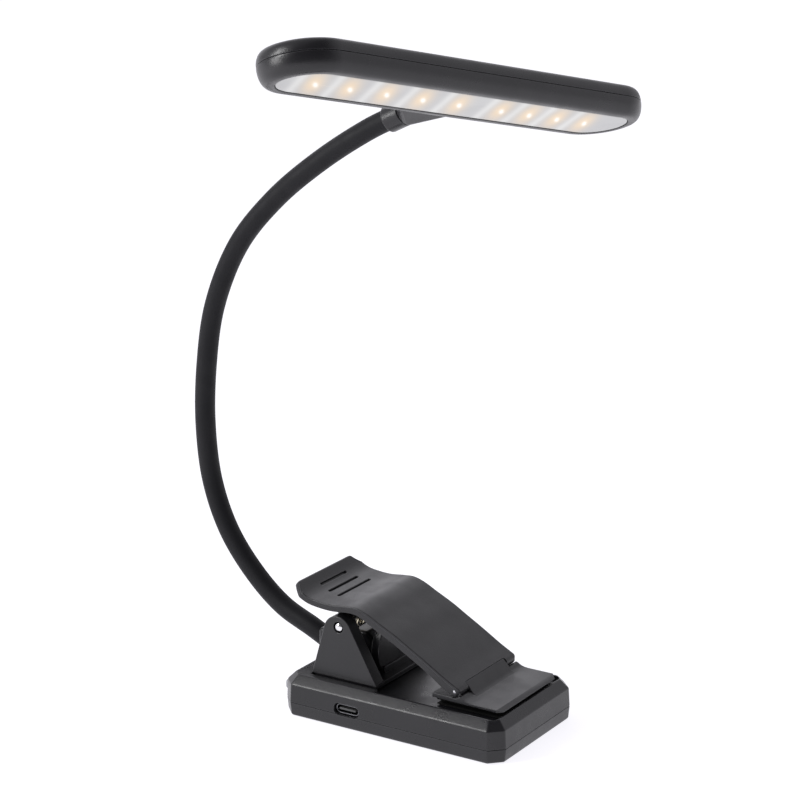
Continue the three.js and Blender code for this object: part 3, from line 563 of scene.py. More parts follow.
SCREW_NAMES = [f"base_screw_{i}" for i in range(1, 5)] + [f"bracket_screw_{i}" for i in range(1, 3)]
SCREWS = [centre(name) for name in SCREW_NAMES]
WELL_RADIUS = 2.2 * MM


def make_base():
    """The casing's tray and cover, hollow, with a screw boss over each screw and the openings cut through."""
    wall = [(FOOT_INSET, TRAY_BOX[0].z), *mm([(0.85, 0.08), (0.6, 0.32)]), (DRAFT, FOOT_Z), (DRAFT / 2, 3 * MM)]
    wall += [(inset, PARTING_Z - away) for inset, away in BASE_SEAM]
    tray = stack("base_tray", "Z", base_outline, wall)
    inner = WALL + 0.4 * MM
    cut(tray, stack("hollow", "Z", base_outline, [(inner, FLOOR_Z), (inner, PARTING_Z + MM)]))
    for place in SCREWS:
        boss = rod("boss", "Z", place.xy, 2.6 * MM, FLOOR_Z - 0.5 * MM, 3.3 * MM, 0.1 * MM)
        levels = [(WELL_RADIUS + grow, z) for grow, z in mm([(0.25, -1), (0.25, 0), (0, 0.25), (0, 1.9)])]
        well = stack("well", "Z", circles(*place.xy, 36), levels)
        hole = rod("hole", "Z", place.xy, 1.4 * MM, 0, 4 * MM)
        cut(join(tray, boss), well, hole)
    cut(tray, port_cutter())
    finish_piece(tray, "casing", "casing", "base", "base_bottom_shell")

    wall = [(inset, PARTING_Z + away) for inset, away in reversed(BASE_SEAM)]
    wall += [(DRAFT + u, TOP_Z - BEVEL + v) for u, v in mm([(-0.03, -0.45), (0.07, -0.1), (0.32, 0.24)])]
    wall += [(DRAFT + BEVEL + u, TOP_Z + v) for u, v in mm([(-0.28, -0.24), (0, -0.06), (0.4, 0)])]
    cover = stack("base_cover", "Z", base_outline, wall)
    hollow = stack("hollow", "Z", base_outline, [(WALL, PARTING_Z - MM), (WALL + 0.2 * MM, ROOF_Z)])
    rim = [(0.0, RECESS_FLOOR_Z), (0.0, TOP_Z - LIP), (0.3 * LIP, TOP_Z - 0.3 * LIP), (LIP, TOP_Z)]
    rim.append((LIP, TOP_Z + MM))
    recess = stack("recess", "Z", recess_outline, rim)
    pocket = stack("pocket", "Z", pocket_outline, rim)
    funnel = mm([(0.9, -1), (0.55, 0.3), (0.35, 0.6), (0.35, 3)])
    levels = [(grow, depth - BASE_HALF[0]) for grow, depth in funnel]
    button_hole = stack("button_hole", "X", button_outline, levels)
    cut(cover, hollow, recess, pocket, port_cutter(), button_hole)
    for place in SCREWS[:4]:
        post = rod("post", "Z", place.xy, 2.4 * MM, 3.6 * MM, ROOF_Z + 0.5 * MM, 0.1 * MM)
        cut(join(cover, post), rod("hole", "Z", place.xy, 1.35 * MM, 0, 9 * MM))
    cut(cover, block("way", CABLE_WAY_X, *mm([(-3, 3), (8, 20)]), 0.2 * MM))
    finish_piece(cover, "casing", "casing", "base", "base_top_shell")


THREAD_PITCH = 0.5 * MM
THREAD_RADII = (0.78 * MM, 1.0 * MM)


def make_screws():
    """Pan-head screws with a cross recess, in their wells under the base."""
    for name, middle in zip(SCREW_NAMES, SCREWS):
        low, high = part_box(name)
        radius = (high.x - low.x) / 2
        head = [(0.55, 0.0), (0.82, 0.12), (0.96, 0.32), (1.0, 0.55), (0.97, 0.98), (0.9, 1.0)]
        levels = [(radius * share, low.z + rise * MM) for share, rise in head]
        screw = stack(name + "_turned", "Z", circles(*middle.xy, 48), levels)
        turns = int((high.z - low.z - 1.2 * MM) / THREAD_PITCH)
        levels = [(THREAD_RADII[i % 2], low.z + 0.9 * MM + i * THREAD_PITCH / 2) for i in range(2 * turns)]
        shank = stack("shank", "Z", lambda radius, at=middle: arc(at.x, at.y, radius, 0, 350, 23), levels)
        join(screw, shank)
        for turn in (0, 90):
            slot = block("slot", *mm([(-1.15, 1.15), (-0.22, 0.22), (-0.5, 0.75)]), 0.08 * MM)
            spin = Matrix.Rotation(math.radians(turn), 4, "Z")
            slot.data.transform(Matrix.Translation((middle.x, middle.y, low.z)) @ spin)
            cut(screw, slot)
        finish_piece(screw, "screw", "screw_steel", "base", name)


def make_port():
    low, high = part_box("usb_c_shell")
    wall, lip = 0.35 * MM, 0.08 * MM
    mouth = low.y + 0.8 * MM
    levels = [(wall, low.y + 6.4 * MM), (wall, mouth + lip), (wall - lip, mouth)]
    levels += [(lip, mouth), (0.0, mouth + lip), (0.0, high.y), (2 * lip, high.y)]
    shell = stack("usb_c_port_shell", "Y", lambda inset: port_outline(-inset), levels)
    finish_piece(shell, "port", "port_metal", "base", "usb_c_shell")
    tongue = block("usb_c_port_tongue", *zip(*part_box("usb_c_tongue")), 0.12 * MM)
    finish_piece(tongue, "tongue", "port_tongue", "base", "usb_c_tongue")


def make_button():
    low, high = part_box("power_button")
    outline = button_outline(-0.02 * MM)
    crown = [(inset, low.x + depth) for inset, depth in mm([(0.75, 0), (0.4, 0.05), (0.16, 0.16), (0, 0.35)])]
    levels = [*crown, (0.0, high.x - 0.5 * MM)]
    button = stack("power_button_cap", "X", lambda inset: shrunk(outline, inset), levels)
    flange = block("flange", (-40.1 * MM, high.x), (low.y, high.y), (low.z, high.z), 0.1 * MM)
    finish_piece(join(button, flange), "button", "button_grey", "button", "power_button")


# ----- clip bracket -----
PIN = centre("hinge_pin")
PIN_RADIUS = (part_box("hinge_pin")[1].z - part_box("hinge_pin")[0].z) / 2
PIN_HOLE = 2.1 * MM
EAR_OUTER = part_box("clip_bracket")[1].y
EAR_THICKNESS = 4.8 * MM
EAR_SKIN = 2.4 * MM
EAR_RIM = 2.2 * MM
EAR_TOP = (-23.1 * MM, 30.7 * MM)
EAR_TOP_RADIUS = 5.4 * MM
BRACKET_X = (-33.5 * MM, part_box("clip_bracket")[1].x)
BRACKET_Z = (12.8 * MM, 15.0 * MM)
EDGE = 0.3 * MM
JAW_PIN = centre("jaw_pin")
JAW_PIN_RADIUS = 0.6 * MM


def ear_outline(inset):
    left, right = BRACKET_X[0] + inset, BRACKET_X[1] - inset
    foot = BRACKET_Z[1] + (inset if inset else -0.6 * MM)
    return [(left, foot), (right, foot), *arc(*EAR_TOP, EAR_TOP_RADIUS - inset, 28, 163, 24)]


def make_ear(side):
    """One ear of the clip: hollow from inside, with a countersunk hole for the hinge pin."""
    outer, inner, skin = side * EAR_OUTER, side * (EAR_OUTER - EAR_THICKNESS), side * (EAR_OUTER - EAR_SKIN)
    ear = prism("ear", ear_outline(0.0), "Y", min(outer, inner), max(outer, inner), EDGE)
    beyond = inner - side * MM
    pocket = prism("pocket", rounded(ear_outline(EAR_RIM), 0.4 * MM), "Y", min(skin, beyond), max(skin, beyond))
    span = (min(outer, inner) + EDGE, max(outer, inner) - EDGE)
    join(cut(ear, pocket), rod("boss", "Y", PIN.xz, PIN_HOLE + 1.3 * MM, *span, 0.1 * MM))
    radius = PIN_HOLE - 0.25 * MM
    rim = mm([(0.5, -1), (0.32, 0), (0.1, 0.12), (0, 0.35)])
    levels = [(radius + grow, outer - side * depth) for grow, depth in rim]
    return cut(ear, stack("hole", "Y", circles(*PIN.xz, 48), [*levels, (radius, beyond)]))


def make_bracket():
    """The moulding between lever and base: ears, the neck's socket and the spring's stop."""
    foot = oblong(BRACKET_X, (-EAR_OUTER, EAR_OUTER), 0.6 * MM)
    undercut = 0.9 * MM
    low, high = BRACKET_Z
    rim = mm([(0.25, 0.75), (0.03, 0.5), (0, 0.3), (0.08, 0.08), (0.3, 0)])
    levels = [(undercut, low), (undercut, low + 1.2 * MM), *[(inset, high - drop) for inset, drop in rim]]
    bracket = stack("clip_frame", "Z", lambda inset: shrunk(foot, inset), levels)
    join(bracket, make_ear(1), make_ear(-1))
    housing = [(-39.5, 14.6), (-16, 14.6), (-16, 24), (-20, 27.2), (-31, 27.2), (-39.5, 24.6)]
    join(bracket, prism("housing", rounded(mm(housing), 1.5 * MM, 6), "Y", -6.6 * MM, 6.6 * MM, 1.2 * MM, 6))
    join(bracket, block("web", *mm([(-18, -13), (-6.3, 6.3), (14.8, 23.7)]), 0.4 * MM))
    barrel = [(-7.6, 14.2), (7.6, 14.2), *arc(0, 22.2, 11, -30, 38, 14), *arc(0, 22.2, 11, 142, 210, 14)]
    join(bracket, prism("stop", mm(barrel), "X", -15.2 * MM, -12.2 * MM, EDGE))
    step = oblong(*mm([(-8.6, 8.6), (14.2, 17.2)]), 0.5 * MM)
    join(bracket, prism("step", step, "X", -15.5 * MM, -11.4 * MM, 0.25 * MM))
    socket = tube("socket", NECK, -3 * MM, 0.16 * NECK.length, lambda s: 3.8 * MM, 48, 1.5 * MM)
    way = block("way", CABLE_WAY_X, *mm([(-2, 2), (10, 18)]), 0.2 * MM)
    cut(bracket, socket, way)
    for place in SCREWS[4:]:
        cut(bracket, rod("hole", "Z", place.xy, 1.3 * MM, 10 * MM, 14.5 * MM))
    finish_piece(bracket, "clip", "clip_plastic", "base", "clip_bracket")


def make_pin(node, sides, end, material, body):
    """A hinge pin whose two ends are alike; end is (radius, depth from the pin's very end)."""
    place, low = centre(node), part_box(node)[0].y
    end = [(radius, low + depth) for radius, depth in end]
    levels = end + [(radius, -y) for radius, y in reversed(end)]
    pin = stack(f"{node}_polished", "Y", circles(*place.xz, sides), levels)
    finish_piece(pin, material, "polished_pin", body, node)


def make_pins():
    steps = [math.pi / 2 * k / 6 for k in range(1, 7)]
    dome = [(PIN_RADIUS * math.sin(a), 0.7 * MM * (1 - math.cos(a))) for a in steps]
    make_pin("hinge_pin", 48, dome, "pin", "base")
    end = [(0.4, 0.0), (0.75, 0.05), (0.95, 0.16), (1, 0.3)]
    end = [(JAW_PIN_RADIUS * share, depth * MM) for share, depth in end]
    make_pin("jaw_pin", 24, end, "screw", "lever")


def make_spring():
    """A wound torsion spring: one leg lies under the lever, the other comes round the lug as a small hook."""
    wire, coil, turns, half, around = 0.55 * MM, 2.6 * MM, 9, 9.4 * MM, 16
    top = PIN.z + coil
    points = [(-33.5 * MM, half, top + 0.35 * MM), (-27 * MM, half, top + 0.2 * MM)]
    for i in range(turns * around + 1):
        angle = math.pi / 2 - 2 * math.pi * i / around
        y = half - 2 * half * i / (turns * around)
        points.append((PIN.x + coil * math.cos(angle), y, PIN.z + coil * math.sin(angle)))
    hook = [(-20.0, -9.6, 34.6), (-18.6, -10.5, 34.9), (-18.2, -12.3, 34.9)]
    hook += [(-18.5, -13.6, 34.5), (-18.9, -13.75, 33.0), (-18.4, -13.75, 30.8)]
    path = Path(points + mm(hook))
    spring = tube("spring_wound", path, 0, path.length, lambda s: wire, 10, 0.6 * MM)
    finish_piece(spring, "spring", "spring_steel", None, "torsion_spring", flat_faces=False)
    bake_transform(spring)


# ----- lever -----
LEVER_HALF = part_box("clip_lever")[1].y
LEVER_PLATE = 2.3 * MM
LEVER_SKIRT = 3.1 * MM
SKIRT_WALL = 2.0 * MM
LEVER_LINE = side_path([
    (-41, 44.2), (-38.4, 41.8), (-35.2, 40.2), (-31, 39.5), (-26, 39.3), (-20.5, 39.9), (-16.5, 40.1),
    (-12.5, 39), (-7.5, 36.6), (-1, 33.5), (4.3, 30.5), (9.7, 27.5), (13.7, 25.15), (17.6, 22.85), (21, 21.06),
])
FINGER_ROUND = 1.8 * MM
FINGER_DEPTH = 3.65 * MM
FINGER_REACH = 3.5 * MM
LEVER_LENGTH = LEVER_LINE.length + FINGER_REACH
LIP_X = 21.95 * MM
KNUCKLE_RADIUS = 1.5 * MM
THUMB_CORNER_X = -38 * MM
TONGUE_HALF = 12.1 * MM
GAP = 0.3 * MM


def smoothstep(value, low, high):
    t = min(1.0, max(0.0, (value - low) / (high - low)))
    return t * t * (3 - 2 * t)


def lever_section(spot):
    """Points of the lever's channel section at a distance along it: (half width, depth) all the way round."""
    share = spot / LEVER_LINE.length
    depth = LEVER_PLATE + (LEVER_SKIRT - LEVER_PLATE) * smoothstep(share, 0.3, 0.52)
    depth += (FINGER_DEPTH - LEVER_SKIRT) * smoothstep(share, 0.85, 1.0)
    hollow = depth - LEVER_PLATE if share > 0.3 else 0.0
    hollow = max(0.02 * MM, hollow * (1 - smoothstep(share, 0.9, 0.93)))
    half = LEVER_HALF - max(0.0, THUMB_CORNER_X - LEVER_LINE.at(spot).x)
    trim = 0.0
    for radius, distance in ((0.7 * MM, spot), (FINGER_ROUND, LEVER_LENGTH - spot)):
        if distance < radius:
            trim = radius - math.sqrt(max(0.0, radius**2 - (radius - distance) ** 2))
    top, bottom = trim, depth - trim
    side = half - min(trim, 0.7 * MM)
    edge = min(0.35 * MM, (bottom - top) / 3)
    low = min(0.3 * MM, edge)
    turns = (0.4, 0.8, 1.2, math.pi / 2)
    right = [(side - edge, top)]
    right += [(side - edge + edge * math.sin(a), top + edge * (1 - math.cos(a))) for a in turns]
    line = min(0.12 * MM, edge)
    for share, inset in ((0.2, 0.0), (0.23, line), (0.29, line), (0.32, 0.0)):
        right.append((side - inset, top + edge + share * (bottom - top - edge - low)))
    right += [(side, bottom - low), (side - 0.3 * low, bottom - 0.3 * low), (side - low, bottom)]
    inner = side - SKIRT_WALL
    right += [(inner + low, bottom), (inner, bottom - low * 0.6)]
    right += [(inner, bottom - hollow), (inner - 0.5 * MM, bottom - hollow)]
    return right + [(-y, d) for y, d in reversed(right)]


def lever_rings():
    """The lever's sections from end to end, close together where its ends are rounded."""
    spots = [d * MM for d in (0.0, 0.06, 0.15, 0.3, 0.5, 0.7, 1.0, 1.4, 1.9, 2.5, 3.2)]
    count = 110
    spots += [3.6 * MM + (LEVER_LENGTH - 6 * MM) * i / count for i in range(count + 1)]
    end = (2.1, 1.9, FINGER_ROUND / MM, 1.5, 1.2, 0.9, 0.6, 0.35, 0.15, 0.05, 0.0)
    spots += [LEVER_LENGTH - d * MM for d in end]
    rings = []
    for spot in spots:
        point, tangent = LEVER_LINE.at(spot), LEVER_LINE.tangent(spot)
        down = Vector((tangent.z, 0, -tangent.x))
        rings.append([point + down * depth + Vector((0, y, 0)) for y, depth in lever_section(spot)])
    return rings


LUG_Y = (10.6 * MM, 12.9 * MM)


def lug(side):
    """The web that hangs from the lever round the hinge pin, inside an ear."""
    line = [LEVER_LINE.at(LEVER_LINE.length * (0.2 + 0.09 * i / 8)) for i in range(9)]
    down = LEVER_PLATE - 0.6 * MM
    top = [(p.x, p.z - down) for p in line]
    outline = [*top, *arc(PIN.x, PIN.z, 3.4 * MM, -20, -200, 24)]
    return prism("lug", outline, "Y", *sorted(side * y for y in LUG_Y))


def groove(x, length):
    """A cutter for one grip groove across the thumb end, at right angles to the surface."""
    spot = min(range(400), key=lambda i: abs(LEVER_LINE.at(i * 0.1 * MM).x - x)) * 0.1 * MM
    point, tangent = LEVER_LINE.at(spot), LEVER_LINE.tangent(spot)
    half = 0.5 * MM
    ends = arc(0, length / 2 - half, half, 0, 180, 12) + arc(0, half - length / 2, half, 180, 360, 12)
    levels = mm([(0.25, -0.6), (0.25, 0.0), (0.07, 0.08), (0.0, 0.25), (-0.12, 0.75)])
    rings = []
    down = Vector((tangent.z, 0, -tangent.x))
    for grow, depth in levels:
        outline = shrunk(anticlockwise(ends), -grow)
        rings.append([point + tangent * u + down * depth + Vector((0, v, 0)) for u, v in outline])
    return loft("groove", rings)


GROOVES = mm([(-37.3, 15.3), (-33.4, 17.3), (-29.0, 19.4)])


def make_lever():
    lever = loft("thumb_lever", lever_rings())
    join(lever, lug(1), lug(-1))
    gap_y = (-TONGUE_HALF - GAP, TONGUE_HALF + GAP)
    cut(lever, prism("notch", oblong((LIP_X, 40 * MM), gap_y, 0.5 * MM), "Z", 10 * MM, 30 * MM))
    cut(lever, rod("clearance", "Y", JAW_PIN.xz, KNUCKLE_RADIUS + 0.2 * MM, *gap_y))
    cut(lever, block("clearance", (19.6 * MM, 30 * MM), gap_y, (10 * MM, JAW_PIN.z), 0.1 * MM))
    cut(lever, rod("bore", "Y", PIN.xz, PIN_RADIUS + 0.15 * MM, -16 * MM, 16 * MM))
    cut(lever, rod("bore", "Y", JAW_PIN.xz, JAW_PIN_RADIUS + 0.06 * MM, -30 * MM, 30 * MM))
    cut(lever, *[groove(x, length) for x, length in GROOVES])
    finish_piece(lever, "clip", "clip_plastic", "lever", "clip_lever")


# ----- jaw -----
def make_jaw():
    """A flat jaw that sweeps up to the knuckle between the lever's fingers, flush with the lever's top."""
    tip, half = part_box("jaw_plate")[1].xy
    pin = (JAW_PIN.x / MM, JAW_PIN.z / MM)
    profile = [(13.2, 15.45), (38.8, 15.1), (39.15, 15.15), (39.2, 15.3), (37.5, 16.15), (28, 16.17)]
    profile += [(26.6, 16.3), (25.4, 16.62), (24.7, 17), (24.1, 17.38), (23.6, 17.5)]
    profile += [*arc(*pin, 2.15, 322, 245, 10), (13.4, 17.05), (13.2, 16.9)]
    plate = prism("jaw", mm(profile), "Y", -half, half, 0.22 * MM)
    corner = 2.0 * MM
    for side in (1, -1):
        trim = [(tip - corner, half + 0.1 * MM), (tip + MM, half - corner - MM), (tip + MM, half + MM)]
        trim = [(x, side * y) for x, y in [*trim, (tip - corner, half + MM)]]
        cut(plate, prism("corner", trim, "Z", 5 * MM, 30 * MM))
    tongue = [(20.4, 16.3), (27.5, 16.05), (26.6, 16.32), (25.5, 16.7), (24.75, 17.3), (24.15, 18.15)]
    tongue += [(23.5, 19.05), (22.8, 19.8), (22.12, 20.42), *arc(*pin, KNUCKLE_RADIUS / MM, 70, 215, 14)]
    join(plate, prism("tongue", mm(tongue), "Y", -TONGUE_HALF, TONGUE_HALF, 0.2 * MM))
    cut(plate, rod("bore", "Y", JAW_PIN.xz, JAW_PIN_RADIUS + 0.04 * MM, -30 * MM, 30 * MM))
    plate.name = "swivel_jaw"
    finish_piece(plate, "clip", "clip_plastic", "jaw", "jaw_plate")


def make_pad(node, name, body, ribs, up):
    """A thin rubber pad with rounded ribs across it."""
    low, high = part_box(node)
    plate = 0.5 * (high.z - low.z)
    back, crest = (low.z, high.z) if up else (high.z, low.z)
    valley = back + plate if up else back - plate
    back += 0 if up else 0.2 * MM
    border = 2.2 * MM
    outline = [(low.x, back)]
    pitch = (high.x - low.x) / ribs
    rib = ((0.0, 0.0), (0.14, 0.25), (0.24, 0.8), (0.36, 1.0), (0.64, 1.0), (0.76, 0.8), (0.86, 0.25))
    for i in range(ribs):
        for share, rise in rib:
            outline.append((low.x + (i + share) * pitch, valley + (crest - valley) * rise))
    outline += [(high.x, valley), (high.x, back)]
    pad = prism(name, outline, "Y", low.y + border, high.y - border)
    sheet = [(low.x, back), (high.x, back), (high.x, valley), (low.x, valley)]
    join(pad, prism("sheet", sheet, "Y", low.y, high.y))
    finish_piece(pad, "pad", "pad_rubber", body, node)


# ----- gooseneck -----
NECK = side_path([
    (-37.5, 17.6), (-46, 21.6), (-58.4, 27.1), (-70, 36.6), (-80.8, 50.4), (-87.4, 67), (-89.8, 87),
    (-88.7, 108.4), (-84.5, 130), (-74, 152), (-59, 168.8), (-40.5, 183.4), (-21, 195.6), (-9.5, 201.2),
])
NECK_RADIUS = 3.5 * MM
NECK_BORE = 2.4 * MM
HOSE_RADIUS = 2.1 * MM
HOSE_BORE = 1.5 * MM
CABLE_RADIUS = 1.1 * MM
BENDS = [share * NECK.length for share in (0.12, 0.42, 0.7)]
BEND_REACHES = (24 * MM, 27 * MM, 27 * MM)


def finish_bend(thing, i, material, slot, *nodes):
    """Finishes a piece that lies across the i-th of the neck's joints and bakes its placement into its mesh."""
    finish_piece(thing, material, slot, None, *nodes, flat_faces=False)
    start, end = NECK.at(BENDS[i] - BEND_REACHES[i]), NECK.at(BENDS[i] + BEND_REACHES[i])
    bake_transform(thing)


def hose_wave(spot):
    """The coiled steel hose's ridges."""
    return HOSE_RADIUS - 0.22 * MM * (0.5 - 0.5 * math.cos(2 * math.pi * spot / (1.6 * MM)))


def make_neck():
    cuts = [0.0, *[(a + b) / 2 for a, b in zip(BENDS, BENDS[1:])], NECK.length - 0.6 * MM]
    sleeves = [
        ["neck_sleeve_root", "neck_bend_section_1", "neck_sleeve_lower"],
        ["neck_bend_section_2", "neck_sleeve_middle"],
        ["neck_bend_section_3", "neck_sleeve_upper"],
    ]
    for i, nodes in enumerate(sleeves):
        start, end = cuts[i], cuts[i + 1]
        sleeve = tube(f"neck_sleeve_{i + 1}", NECK, start, end, lambda s: NECK_RADIUS, 48, 1.5 * MM, NECK_BORE)
        finish_bend(sleeve, i, "neck", "neck_rubber", *nodes)
        inner = (max(start, 1.5 * MM), min(end, NECK.length - 1.5 * MM))
        hose = tube(f"steel_hose_{i + 1}", NECK, *inner, hose_wave, 16, 0.4 * MM, HOSE_BORE)
        finish_bend(hose, i, "hose", "spring_steel", "gooseneck_steel_core")
        cable = tube(f"lamp_cable_{i + 1}", NECK, start, end, lambda s: CABLE_RADIUS, 12, 2 * MM)
        finish_bend(cable, i, "cable", "cable_jacket", "lamp_cable")


# ----- head -----
class HeadSpace:
    """The head's own axes: x to its front edge, y along it, z up from the lens face."""

    def __init__(self):
        long = (centre("led_9") - centre("led_1")).normalized()
        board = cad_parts["led_board"].data
        up = max(board.polygons, key=lambda face: face.area).normal.copy()
        up = up if up.z > 0 else -up
        across = long.cross(up)
        self.turn = Matrix((across, long, up)).transposed()
        lens = self.local_box("diffuser_lens")
        shell = self.local_box("head_bottom_shell")
        self.half = (lens[1] - lens[0]) / 2
        middle = (lens[0] + lens[1]) / 2
        self.origin = self.turn @ Vector((middle.x, middle.y, shell[0].z))
        top = self.local_box("head_top_shell")
        self.thickness = top[1].z - shell[0].z
        self.bulge = (top[1].x - top[0].x) / 2 - self.half.x

    def local_box(self, node):
        spread = list(zip(*(self.turn.transposed() @ v.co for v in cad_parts[node].data.vertices)))
        return Vector(map(min, spread)), Vector(map(max, spread))

    def out(self, x, y, z):
        return self.origin + self.turn @ Vector((x, y, z))

    def inside(self, point):
        return self.turn.transposed() @ (point - self.origin)


HEAD = HeadSpace()
HEAD_PARTING = 6.1 * MM
HEAD_TOP_OFFSET = 2.4 * MM
CASING_FULLNESS = 0.75
HEAD_WALL = 1.5 * MM
HEAD_RIM = 1.2 * MM
HEAD_SEAM = mm([(0.02, 0.35), (0.06, 0.16), (0.2, 0.06)])


def stadium(offset, z, arc_steps=28, side_steps=24):
    """An outline past the lens by an offset, lying along the head."""
    radius = HEAD.half.x + offset
    straight = HEAD.half.y - HEAD.half.x
    ring = []
    for end in (1, -1):
        for k in range(arc_steps + 1):
            a = math.pi * k / arc_steps
            ring.append(HEAD.out(end * radius * math.cos(a), end * (straight + radius * math.sin(a)), z))
        for k in range(1, side_steps):
            ring.append(HEAD.out(-end * radius, end * straight * (1 - 2 * k / side_steps), z))
    return ring


def lower_profile():
    """The casing's outer line from the lens rim up to the parting: (offset, height)."""
    steps = 10
    angles = [math.pi / 2 * k / steps for k in range(steps + 1)]
    reach = HEAD.bulge - HEAD_RIM
    line = []
    for a in angles[:-1]:
        line.append((HEAD_RIM + reach * math.sin(a) ** CASING_FULLNESS, HEAD_PARTING * (1 - math.cos(a))))
    return line + [(HEAD.bulge - inset, HEAD_PARTING - away) for inset, away in HEAD_SEAM]


def upper_profile():
    """The casing's outer line from the parting up to its flat top."""
    steps = 10
    angles = [math.pi / 2 * k / steps for k in range(1, steps)]
    rise = HEAD.thickness - HEAD_PARTING
    reach = HEAD.bulge - HEAD_TOP_OFFSET
    line = [(HEAD.bulge - inset, HEAD_PARTING + away) for inset, away in HEAD_SEAM[:0:-1]]
    for a in angles:
        offset = HEAD_TOP_OFFSET + reach * math.cos(a) ** CASING_FULLNESS
        line.append((offset, HEAD_PARTING + rise * math.sin(a)))
    return [*line, (HEAD_TOP_OFFSET, HEAD.thickness)]


def cable_hole():
    """A cutter along the lamp cable from the neck's end into the head."""
    path = Path([NECK.at(NECK.length), *[HEAD.out(x, 0, z) for x, z in mm([(-13.2, 7.2), (-8, 7.6)])]])
    return tube("cable_hole", path, 0, path.length, lambda s: CABLE_RADIUS + 0.6 * MM, 24, MM)


def make_head():
    inner = HEAD.bulge - HEAD_WALL
    rim = mm([(0.3, 2.4), (0.25, 0.35), (0.3, 0.12), (0.5, 0.02), (1.0, 0.0)])
    back = [(inner, HEAD_PARTING - 0.06 * MM), (inner, 4.6 * MM), (0.4 * MM, 2.6 * MM)]
    lower = loft("head_lower_casing", [stadium(o, z) for o, z in [*rim, *lower_profile(), *back]], loop=True)
    cut(lower, cable_hole())
    finish_piece(lower, "head", "casing", "head", "head_bottom_shell")

    cavity = [(HEAD_TOP_OFFSET - HEAD_WALL, HEAD.thickness - HEAD_WALL)]
    cavity += [(inner, HEAD_PARTING + away) for away in (0.8 * MM, 0.06 * MM)]
    crown = [(HEAD_TOP_OFFSET - 0.8 * MM, HEAD.thickness)]
    upper = loft("head_upper_casing", [stadium(o, z) for o, z in [*cavity, *upper_profile(), *crown]])
    cut(upper, cable_hole())
    finish_piece(upper, "head", "casing", "head", "head_top_shell")


CORE_X = -0.4 * MM
CORE_SHIFT = -3.7 * MM
LED_SPOTS = [HEAD.inside(centre(f"led_{i}")).y + CORE_SHIFT for i in range(1, 10)]


def bell(distance, spread):
    return math.exp(-((distance / spread) ** 2))


def glow(x, y):
    """How warm, pale and white the lit lens is at a place: leaning patches and streaks, and small spots."""
    warm = pale = core = 0.0
    for spot in LED_SPOTS:
        dx, dy = x - CORE_X, y - spot
        level, rise = 0.91 * dx + dy, 0.34 * dx - 0.14 * dy
        warm += bell(level - 0.6 * rise + 0.8 * MM, 4.0 * MM) * bell(rise - 0.5 * MM, 4.0 * MM)
        pale += bell(level - rise + 8.0 * MM, 2.1 * MM)
        core += bell(math.hypot(level, rise), 0.95 * MM)
    return min(1.0, warm), min(1.0, 0.65 * pale), min(1.0, 1.2 * core)


def make_lens():
    """The diffuser: a fine net of rings on its lit face, so that the glow can be held in the mesh."""
    back = mm([(0.0, 2.0), (0.0, 0.5), (-0.08, 0.25)])
    rings = 26
    face = [(-0.3 * MM - (HEAD.half.x - 0.35 * MM) * k / rings, 0.15 * MM) for k in range(rings + 1)]
    lens = loft("diffuser", [stadium(o, z, 30, 260) for o, z in [*back, *face]])
    values = [glow(*HEAD.inside(v.co).xy) for v in lens.data.vertices]
    for i, name in enumerate(GLOW_TONES):
        attribute = lens.data.attributes.new(name, "FLOAT", "POINT")
        attribute.data.foreach_set("value", [v[i] for v in values])
    finish_piece(lens, "lens", "diffuser", "head", "diffuser_lens")


def make_leds():
    """Square packages with a domed phosphor, under the diffuser."""
    half = 1.4 * MM
    outline = oblong((-half, half), (-half, half), 0.3 * MM)
    for i in range(1, 10):
        middle = HEAD.inside(centre(f"led_{i}"))
        rings = []
        for inset, z in mm([(0.0, 0.4), (0.0, -0.15), (0.1, -0.25), (0.5, -0.33), (0.9, -0.4)]):
            rings.append([HEAD.out(middle.x + u, middle.y + v, middle.z + z) for u, v in shrunk(outline, inset)])
        finish_piece(loft(f"led_package_{i}", rings), "led", "led", "head", f"led_{i}")


# ----- collar -----
COLLAR_LENGTH = 6.4 * MM
COLLAR_RADIUS = 4.4 * MM


def make_collar():
    """The ring that the neck's end is pushed into, bored for the neck and for the cable."""
    end = NECK.at(NECK.length)
    tangent = NECK.tangent(NECK.length - MM)
    start = end - 5 * MM * tangent

    def disc(distance, radius, sides=64):
        return ring_round(start + tangent * distance, tangent, radius, sides)

    bore, depth, throat = NECK_RADIUS + 0.12 * MM, 5.0 * MM, 1.7 * MM
    profile = [(depth, bore), (0.15 * MM, bore), (0.0, bore + 0.15 * MM)]
    rim = mm([(0, 0.55), (0.12, 0.25), (0.35, 0.06), (0.7, 0)])
    profile += [(along, COLLAR_RADIUS - inset) for along, inset in rim]
    profile += [(COLLAR_LENGTH - 0.2 * MM, COLLAR_RADIUS), (COLLAR_LENGTH, COLLAR_RADIUS - 0.2 * MM)]
    profile += [(COLLAR_LENGTH, throat), (depth, throat)]
    collar = loft("neck_collar_cap", [disc(d, r) for d, r in profile], loop=True)
    finish_piece(collar, "head", "casing", "head", "neck_collar")


KEPT = {
    "base_circuit_board": "board", "battery_cell": "foil", "battery_lead_1": "lead", "battery_lead_2": "lead",
    "button_switch": "tongue", "led_board": "led_board", "head_mount": "head",
}


def dress_kept_nodes():
    """CAD nodes whose shape is right keep it, and take a finished material."""
    for node, material in KEPT.items():
        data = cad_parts[node].data
        data.materials.clear()
        data.materials.append(MATERIALS[material])


# ----- stage -----
STUDIO_TINT = (0.96, 0.95, 1, 1)


